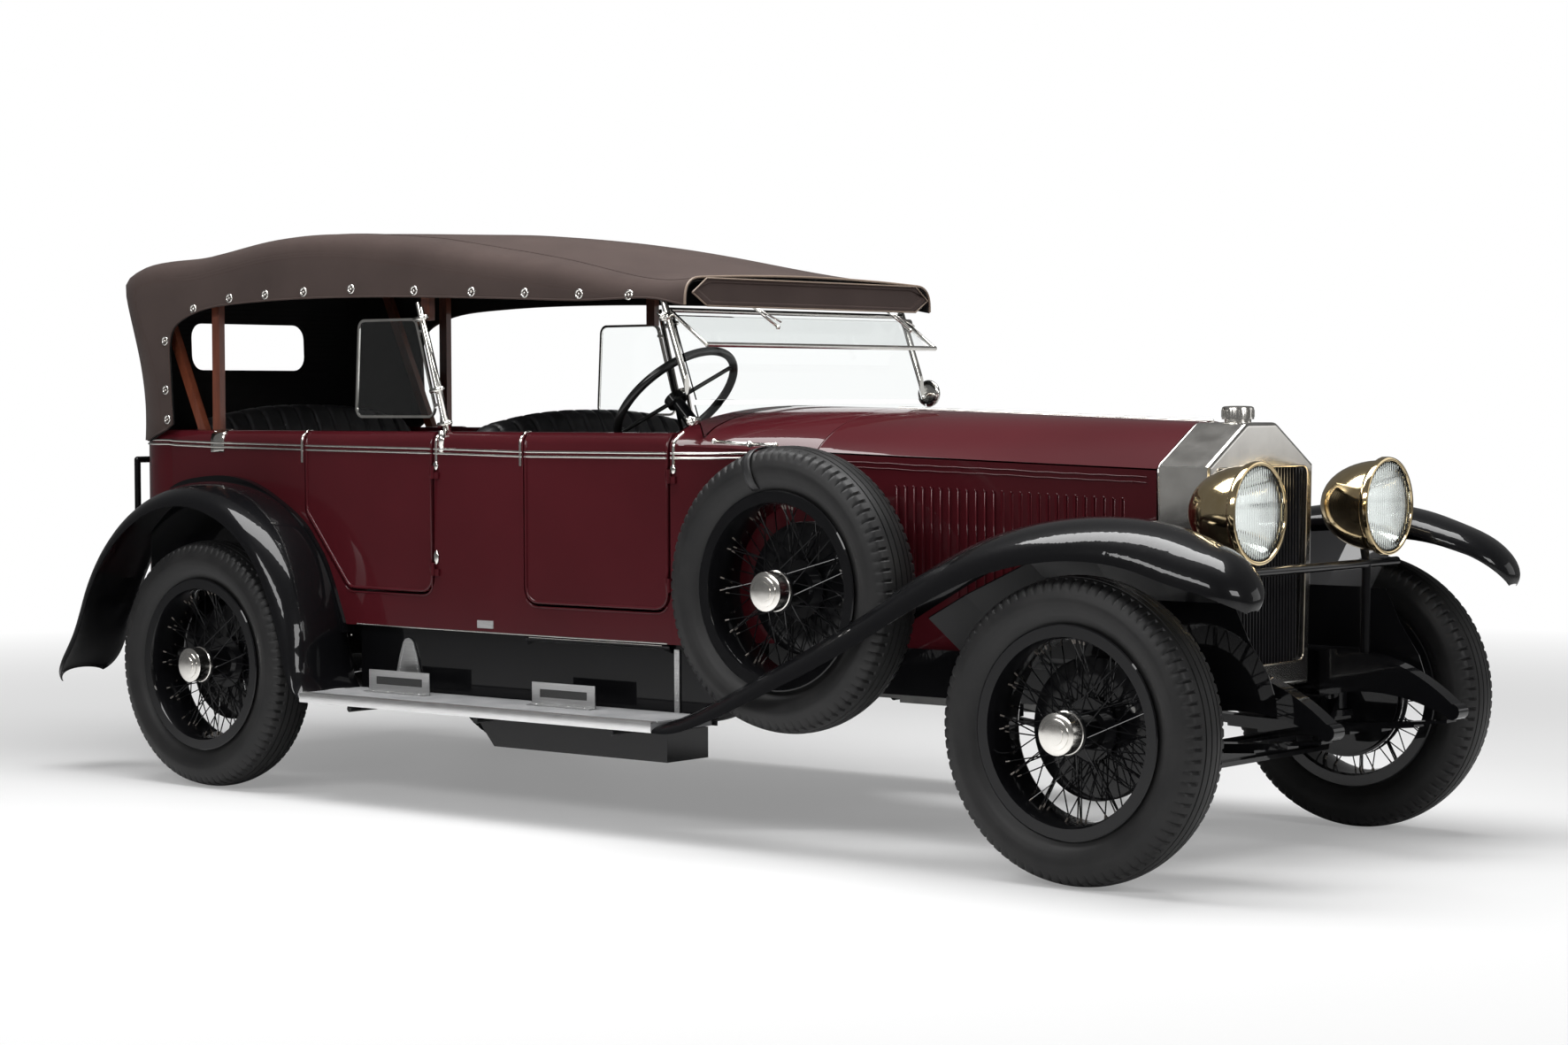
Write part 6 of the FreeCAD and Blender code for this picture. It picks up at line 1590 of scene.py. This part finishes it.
def subdivided(obj):
    modifier = obj.modifiers.new("smooth", "SUBSURF")
    modifier.levels = 1
    modifier.render_levels = 1
    settle(obj)
    obj.data.shade_smooth()


def pleat(obj, places, depth, region):
    # sewn channels: a narrow dip in the skin along each line across the seat
    work = bmesh.new()
    work.from_mesh(obj.data)
    work.normal_update()
    moves = []
    for vert in work.verts:
        share = 1 - min(abs(vert.co.y - place) for place in places) / pleat_half_width
        if share > 0 and region(vert.co):
            moves.append((vert, -vert.normal * depth * share * share))
    for vert, move in moves:
        vert.co += move
    work.to_mesh(obj.data)
    work.free()


def back_outline(back_x, foot_x, head_x, low_z, top_z, roll):
    # a tall pad with a rolled top
    roll_z = top_z - roll
    points = [(foot_x + (head_x - foot_x) * share + back_bulge * math.sin(math.pi * share),
               low_z + (roll_z - low_z) * share) for share in spaced(0, 1, 10)]
    middle = (head_x + back_x) / 2
    reach = (head_x - back_x) / 2
    points += [(middle + reach * math.cos(angle), roll_z + roll * math.sin(angle))
               for angle in spaced(0, math.pi, 12)[1:-1]]
    return points + [(back_x, z) for z in spaced(roll_z, low_z, 7)]


def cushion_outline(back_x, front_x, low_z, top_z):
    points = []
    for share in spaced(0, 1, 16):
        inner_share = min(max(share, cushion_end_share), 1 - cushion_end_share)
        swell_share = math.sin(math.pi * inner_share) ** cushion_power
        points.append((front_x + (back_x - front_x) * share,
                       top_z - cushion_shoulder + cushion_bulge * swell_share))
    points += [(back_x, z) for z in spaced(top_z - cushion_roll, low_z, 7)]
    points += [(x, low_z) for x in spaced(back_x, front_x, 8)[1:-1]]
    return points + [(front_x + cushion_nose * math.sin(math.pi * share),
                      low_z + (top_z - cushion_roll - low_z) * share) for share in spaced(0, 1, 6)]


def leather_pad(name, node, outline, half, depth, region, crown=0.0):
    obj = pad_shape(outline, half, crown).piece(name, "leather")
    swell(obj)
    subdivided(obj)
    count = int(half / pleat_pitch)
    pleat(obj, [pleat_pitch * k for k in range(-count, count + 1)], depth, region)
    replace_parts(obj, node)


def add_seat(name, back_x, front_x, low_z, cushion_z, top_z, half):
    node = name + "_seat"
    pad_half = half - pad_side_gap
    back = back_outline(back_x + back_gap, back_x + back_foot, back_x + back_head, cushion_z - back_sink,
                        top_z - back_top_gap, back_roll)
    leather_pad(node + "_back", node, back, pad_half, back_pleat_depth,
                lambda co: co.x > back_x + back_unpleated, back_crown)
    cushion = cushion_outline(back_x + cushion_start, front_x - cushion_setback, low_z + cushion_foot,
                              cushion_z)
    leather_pad(node + "_cushion", node, cushion, pad_half, cushion_pleat_depth,
                lambda co: co.z > cushion_z - cushion_pleat_drop)
    base = Shape()
    base_half = half - base_side_gap
    base.block((back_x + back_gap, -base_half, low_z),
               (front_x - base_setback, base_half, low_z + base_height), base_chamfer)
    base.piece(node + "_base", "leather")
    piping_half = half - piping_end_gap
    piping = [(front_x - piping_setback, y, cushion_z - piping_drop)
              for y in spaced(-piping_half, piping_half, 20)]
    line_piece(node + "_piping", [piping], piping_radius, "leather")


for seat in seats:
    add_seat(*seat)


# Windscreen fittings

stay_knob_y = (-0.333, 0.373)
stay_knob = (0.352, 1.693)
stay_foot = Vector((0.082, 0.080, -0.093))
stay_stub = Vector((0.030, 0, 0))
stay_wire_top = Vector((0.006, 0.010, -0.012))
stay_wire_foot = Vector((0.004, 0.012, 0.016))
stay_knob_radius = 0.013
stay_stub_radius = 0.006
stay_radius = 0.0045
stay_wire_radius = 0.003
stay_foot_radius = 0.008
post_fittings = ((0.282, 1.630), (0.395, 1.300))
post_y = 0.625
collar_half = Vector((0, 0.020, 0))
collar_radius = 0.014
nut_stand_off = 0.022
nut_wing = Vector((0.018, 0, -0.012))
nut_wing_radius = 0.0045
small_ball_radius = 0.009
post_foot = (-0.7335, 0.6250, 1.250)
post_top = (-0.8525, 0.6400, 1.676)
post_base = (-0.716, 0.645, 1.236)
second_rod = Vector((0.034, 0, 0.006))
second_rod_radius = 0.0075
clamp_shares = (0.08, 0.35, 0.92)
clamp_span_shares = (-0.25, 1.25, 1.35)
clamp_radius = 0.0095
clevis_radius = 0.013
clevis_ball_radius = 0.014
clevis_low = Vector((0, 0, -0.034))
clevis_high = Vector((0, 0, 0.028))
mirror_section = ((0.0, 0.700), (0.030, 0.7005), (0.044, 0.703), (0.048, 0.708), (0.046, 0.714),
                  (0.0, 0.7145))
mirror_centre = (0.318, 0, 1.385)
mirror_arm_radius = 0.006
mirror_arm = (Vector((0.362, 0.615, 1.372)), Vector((0.322, 0.700, 1.383)))


def add_stay(fittings, y):
    # from the hood's front rail down to the visor pane
    knob = Vector((stay_knob[0], y, stay_knob[1]))
    foot = knob + stay_foot
    fittings.ball(knob, stay_knob_radius)
    fittings.bar(knob - stay_stub, knob, stay_stub_radius, 10)
    fittings.bar(knob, foot, stay_radius, 10)
    fittings.bar(knob + stay_wire_top, foot + stay_wire_foot, stay_wire_radius, 8)
    fittings.ball(foot, stay_foot_radius)


def add_wing_nuts(fittings, side):
    # with their collars on the windscreen's posts
    for x, z in post_fittings:
        place = Vector((x, side * post_y, z))
        hub = place + along_y * side * nut_stand_off
        fittings.bar(place - collar_half, place + collar_half, collar_radius, 14)
        fittings.bar(hub - nut_wing, hub + nut_wing, nut_wing_radius, 8)
        fittings.ball(place + collar_half * side, small_ball_radius)


def add_second_rod(fittings, side):
    # second rod, clamps and clevis of the post behind the front seats
    foot, top, base = (Vector((x, side * y, z)) for x, y, z in (post_foot, post_top, post_base))
    fittings.bar(foot + second_rod, top + second_rod, second_rod_radius, 14)
    for share in clamp_shares:
        middle = foot.lerp(top, share)
        start, end, tip = (middle + second_rod * across for across in clamp_span_shares)
        fittings.bar(start, end, clamp_radius, 10)
        fittings.ball(tip, small_ball_radius)
    fittings.bar(base + clevis_low, base + clevis_high, clevis_radius, 14)
    fittings.ball(base + clevis_low, clevis_ball_radius)


def add_screen_fittings():
    fittings = Shape()
    for y in stay_knob_y:
        add_stay(fittings, y)
    for side in SIDES:
        add_wing_nuts(fittings, side)
    for side in SIDES:
        add_second_rod(fittings, side)
    fittings.piece("screen_fittings", "nickel")
    # round mirror on a short arm at the far post
    mirror = Shape()
    mirror.bar(*mirror_arm, mirror_arm_radius, 12)
    mirror.lathe(mirror_section, 40, mirror_centre, "Y")
    mirror.piece("round_mirror", "nickel")


add_screen_fittings()


# Locker lid and bonnet mouldings

lid_rows = ((-0.355, 0.0), (-0.330, 0.010), (-0.250, 0.012), (0.215, 0.012), (0.250, 0.010), (0.285, 0.002))
# (outwards, z, share of the row's lift)
lid_section = ((0.0, 0.588, 0.0), (0.014, 0.5865, 0.2), (0.017, 0.582, 0.0), (0.014, 0.572, 0.0),
               (0.002, 0.556, 1.0))
lid_y = board_inner_y + 0.0005
lid_line = (0.0172, 0.5825)
lid_line_xs = (-0.335, -0.1, 0.1, 0.255)
lid_line_radius = 0.0018
bonnet_top_z = 1.26
bonnet_low_z = 1.0
bonnet_probe_step = 0.003
moulding_span = (0.775, 1.880)
moulding_drops = (0.020, 0.036)
moulding_lift = 0.0005
moulding_radius = 0.0022


def add_side_lid(side):
    # folded lid of the tool locker in the valance
    lid = Shape()
    lid.sweep([[(x, side * (lid_y + out), z + lift * share) for out, z, share in lid_section]
               for x, lift in lid_rows])
    thicken(lid.piece("locker_lid_" + side_name(side), "enamel"), trim_thickness)
    edge = [(x, side * (lid_y + lid_line[0]), lid_line[1]) for x in lid_line_xs]
    line_piece("locker_lid_line_" + side_name(side), [edge], lid_line_radius, "nickel")


def top_of(tree, x, side):
    # the highest level at which the bonnet's side is met
    z = bonnet_top_z
    while z > bonnet_low_z:
        if side_point(tree, x, z, side) is not None:
            return z
        z -= bonnet_probe_step
    return None


def add_bonnet_mouldings(side):
    tree = skin_tree("bonnet_sides")
    levels = [(x, top_of(tree, x, side)) for x in spaced(*moulding_span, 24)]
    lines = [side_path(tree, [(x, top - drop) for x, top in levels if top], side, moulding_lift)
             for drop in moulding_drops]
    line_piece("bonnet_mouldings_" + side_name(side), lines, moulding_radius, "maroon")


on_both_sides(add_side_lid, add_bonnet_mouldings)


# Strap of the spare wheel

strap_turn = math.radians(104)
strap_middle_radius = 0.3700
strap_half_depth = 0.0735
strap_half_width = 0.1005
strap_power = 0.8
strap_edges = (-0.015, -0.005, 0.005, 0.015)
strap_thickness = 0.0035
strap_arm = (Vector((0.478, -0.622, 1.236)), Vector((0.640, -0.640, 1.228)))
strap_arm_radius = 0.0055
strap_knuckle_radius = 0.011
strap_anchor_out = 0.080
strap_anchor_inward = 0.060


def add_spare_strap():
    # leather strap round the spare tyre, from a bright bracket on the scuttle
    radial = Vector((math.cos(strap_turn), 0, math.sin(strap_turn)))
    along = Vector((math.sin(strap_turn), 0, -math.cos(strap_turn)))
    middle = Vector(spare_place) + radial * strap_middle_radius
    rows = []
    for turn in spaced(0, 2 * math.pi, 40):
        c = math.cos(turn)
        s = math.sin(turn)
        out = abs(c) ** strap_power * math.copysign(strap_half_depth, c)
        across = abs(s) ** strap_power * math.copysign(strap_half_width, s)
        rows.append([middle + radial * out + along_y * across + along * edge for edge in strap_edges])
    strap = Shape()
    strap.sweep(rows)
    thicken(strap.piece("spare_strap", "leather"), strap_thickness)
    bracket = Shape()
    start, end = strap_arm
    low = middle + radial * strap_anchor_out + along_y * strap_anchor_inward
    bracket.bar(start, end, strap_arm_radius, 12)
    bracket.ball(start, small_ball_radius)
    bracket.ball(end, strap_knuckle_radius)
    bracket.bar(end, low, strap_arm_radius, 12)
    bracket.ball(low, small_ball_radius)
    bracket.piece("spare_strap_bracket", "nickel")


add_spare_strap()


# Louvre lips

louvre_first_x = 1.0180
louvre_pitch = 0.0310
louvre_count = 26
louvre_drop = 0.0875
lip_shift = 0.001
lip_lift = 0.0002
lip_probe_drop = 0.06
lip_length = 0.325
lip_radius = 0.0021
lip_shoulder_radius = 0.0023
tip_shift = 0.009
tip_lift = 0.0004
tip_rise = 0.004
tip_radius = 0.0019


def add_louvre_lips(side):
    # rolled lip along each louvre, drawn to a point at its top
    tree = skin_tree("bonnet_sides")
    lips = Shape()
    for index in range(louvre_count):
        x = louvre_first_x + louvre_pitch * (index + 0.5)
        high = top_of(tree, x - tip_shift, side) - louvre_drop
        place = side_point(tree, x - lip_shift, high - lip_probe_drop, side, lip_lift)
        foot = side_point(tree, x - lip_shift, high - lip_length, side, lip_lift)
        tip = side_point(tree, x - tip_shift, high + tip_rise, side, tip_lift)
        shoulder = Vector((place.x, place.y, high - tip_rise))
        lips.bar(foot, shoulder, lip_radius, 8)
        lips.bar(shoulder, tip, tip_radius, 8)
        lips.ball(shoulder, lip_shoulder_radius)
    lips.piece("louvre_lips_" + side_name(side), "maroon")


on_both_sides(add_louvre_lips)


# Stage

floor_half = 60.0
fade_start = 3.2
fade_end = 9.0
near_share = 0.26
world_share = 0.13
lamps = (
    # (name, place, target, width, depth, watts)
    ("overhead_box", (0.4, -0.6, 5.4), (0.0, 0.0, 0.6), 7.0, 2.2, 520.0),
    ("side_box", (1.0, -7.0, 4.4), (0.3, 0.0, 0.7), 6.0, 1.2, 230.0),
    ("nose_box", (8.0, -1.5, 3.4), (1.8, 0.0, 0.7), 2.5, 1.8, 130.0),
    ("far_box", (7.5, 7.0, 2.6), (1.8, 0.0, 0.9), 4.0, 3.2, 36.0),
)


def add_lamp(name, place, target, width, depth, power):
    data = bpy.data.lights.new(name, "AREA")
    data.shape = "RECTANGLE"
    data.size = width
    data.size_y = depth
    data.energy = power
    light = bpy.data.objects.new(name, data)
    bpy.context.scene.collection.objects.link(light)
    light.location = place
    light.rotation_euler = (Vector(target) - Vector(place)).to_track_quat("-Z", "Y").to_euler()


def seen_directly(tree):
    # 1 for rays from the camera, also through glass, and 0 for reflections
    rays = add_node(tree, "LightPath").outputs
    seen = {0: rays["Is Camera Ray"], 1: rays["Is Transmission Ray"]}
    return add_node(tree, "Math", links=seen, operation="MAXIMUM").outputs["Value"]


def add_floor():
    corners = [(-floor_half, -floor_half, 0), (floor_half, -floor_half, 0), (floor_half, floor_half, 0),
               (-floor_half, floor_half, 0)]
    mesh = bpy.data.meshes.new("floor")
    mesh.from_pydata(corners, [], [(0, 1, 2, 3)])
    floor = bpy.data.objects.new("floor", mesh)
    bpy.context.scene.collection.objects.link(floor)
    material, tree, shader = new_material("pale_studio_floor", {
        "Base Color": (0.80, 0.80, 0.80, 1), "Roughness": 0.45})
    # away from the car the floor turns into the white backdrop
    distance = add_node(tree, "VectorMath", links={0: object_place(tree)}, operation="LENGTH")
    fade = add_node(tree, "MapRange", {"From Min": fade_start, "From Max": fade_end, "To Min": near_share},
                    {"Value": distance.outputs["Value"]})
    share = add_node(tree, "Math", links={0: fade.outputs["Result"], 1: seen_directly(tree)},
                     operation="MULTIPLY")
    white = add_node(tree, "Emission", {"Color": (1, 1, 1, 1)})
    mix = add_node(tree, "MixShader", links={
        "Fac": share.outputs["Value"], 1: shader.outputs["BSDF"], 2: white.outputs["Emission"]})
    tree.links.new(mix.outputs["Shader"], tree.nodes["Material Output"].inputs["Surface"])
    mesh.materials.append(material)


def add_world():
    world = bpy.data.worlds.new("studio")
    bpy.context.scene.world = world
    world.use_nodes = True
    tree = world.node_tree
    background = tree.nodes["Background"]
    background.inputs["Color"].default_value = (1, 1, 1, 1)
    strength = add_node(tree, "MapRange", {"To Min": world_share}, {"Value": seen_directly(tree)})
    tree.links.new(strength.outputs["Result"], background.inputs["Strength"])


add_floor()
add_world()
for lamp in lamps:
    add_lamp(*lamp)

bpy.context.scene.view_settings.view_transform = "Standard"
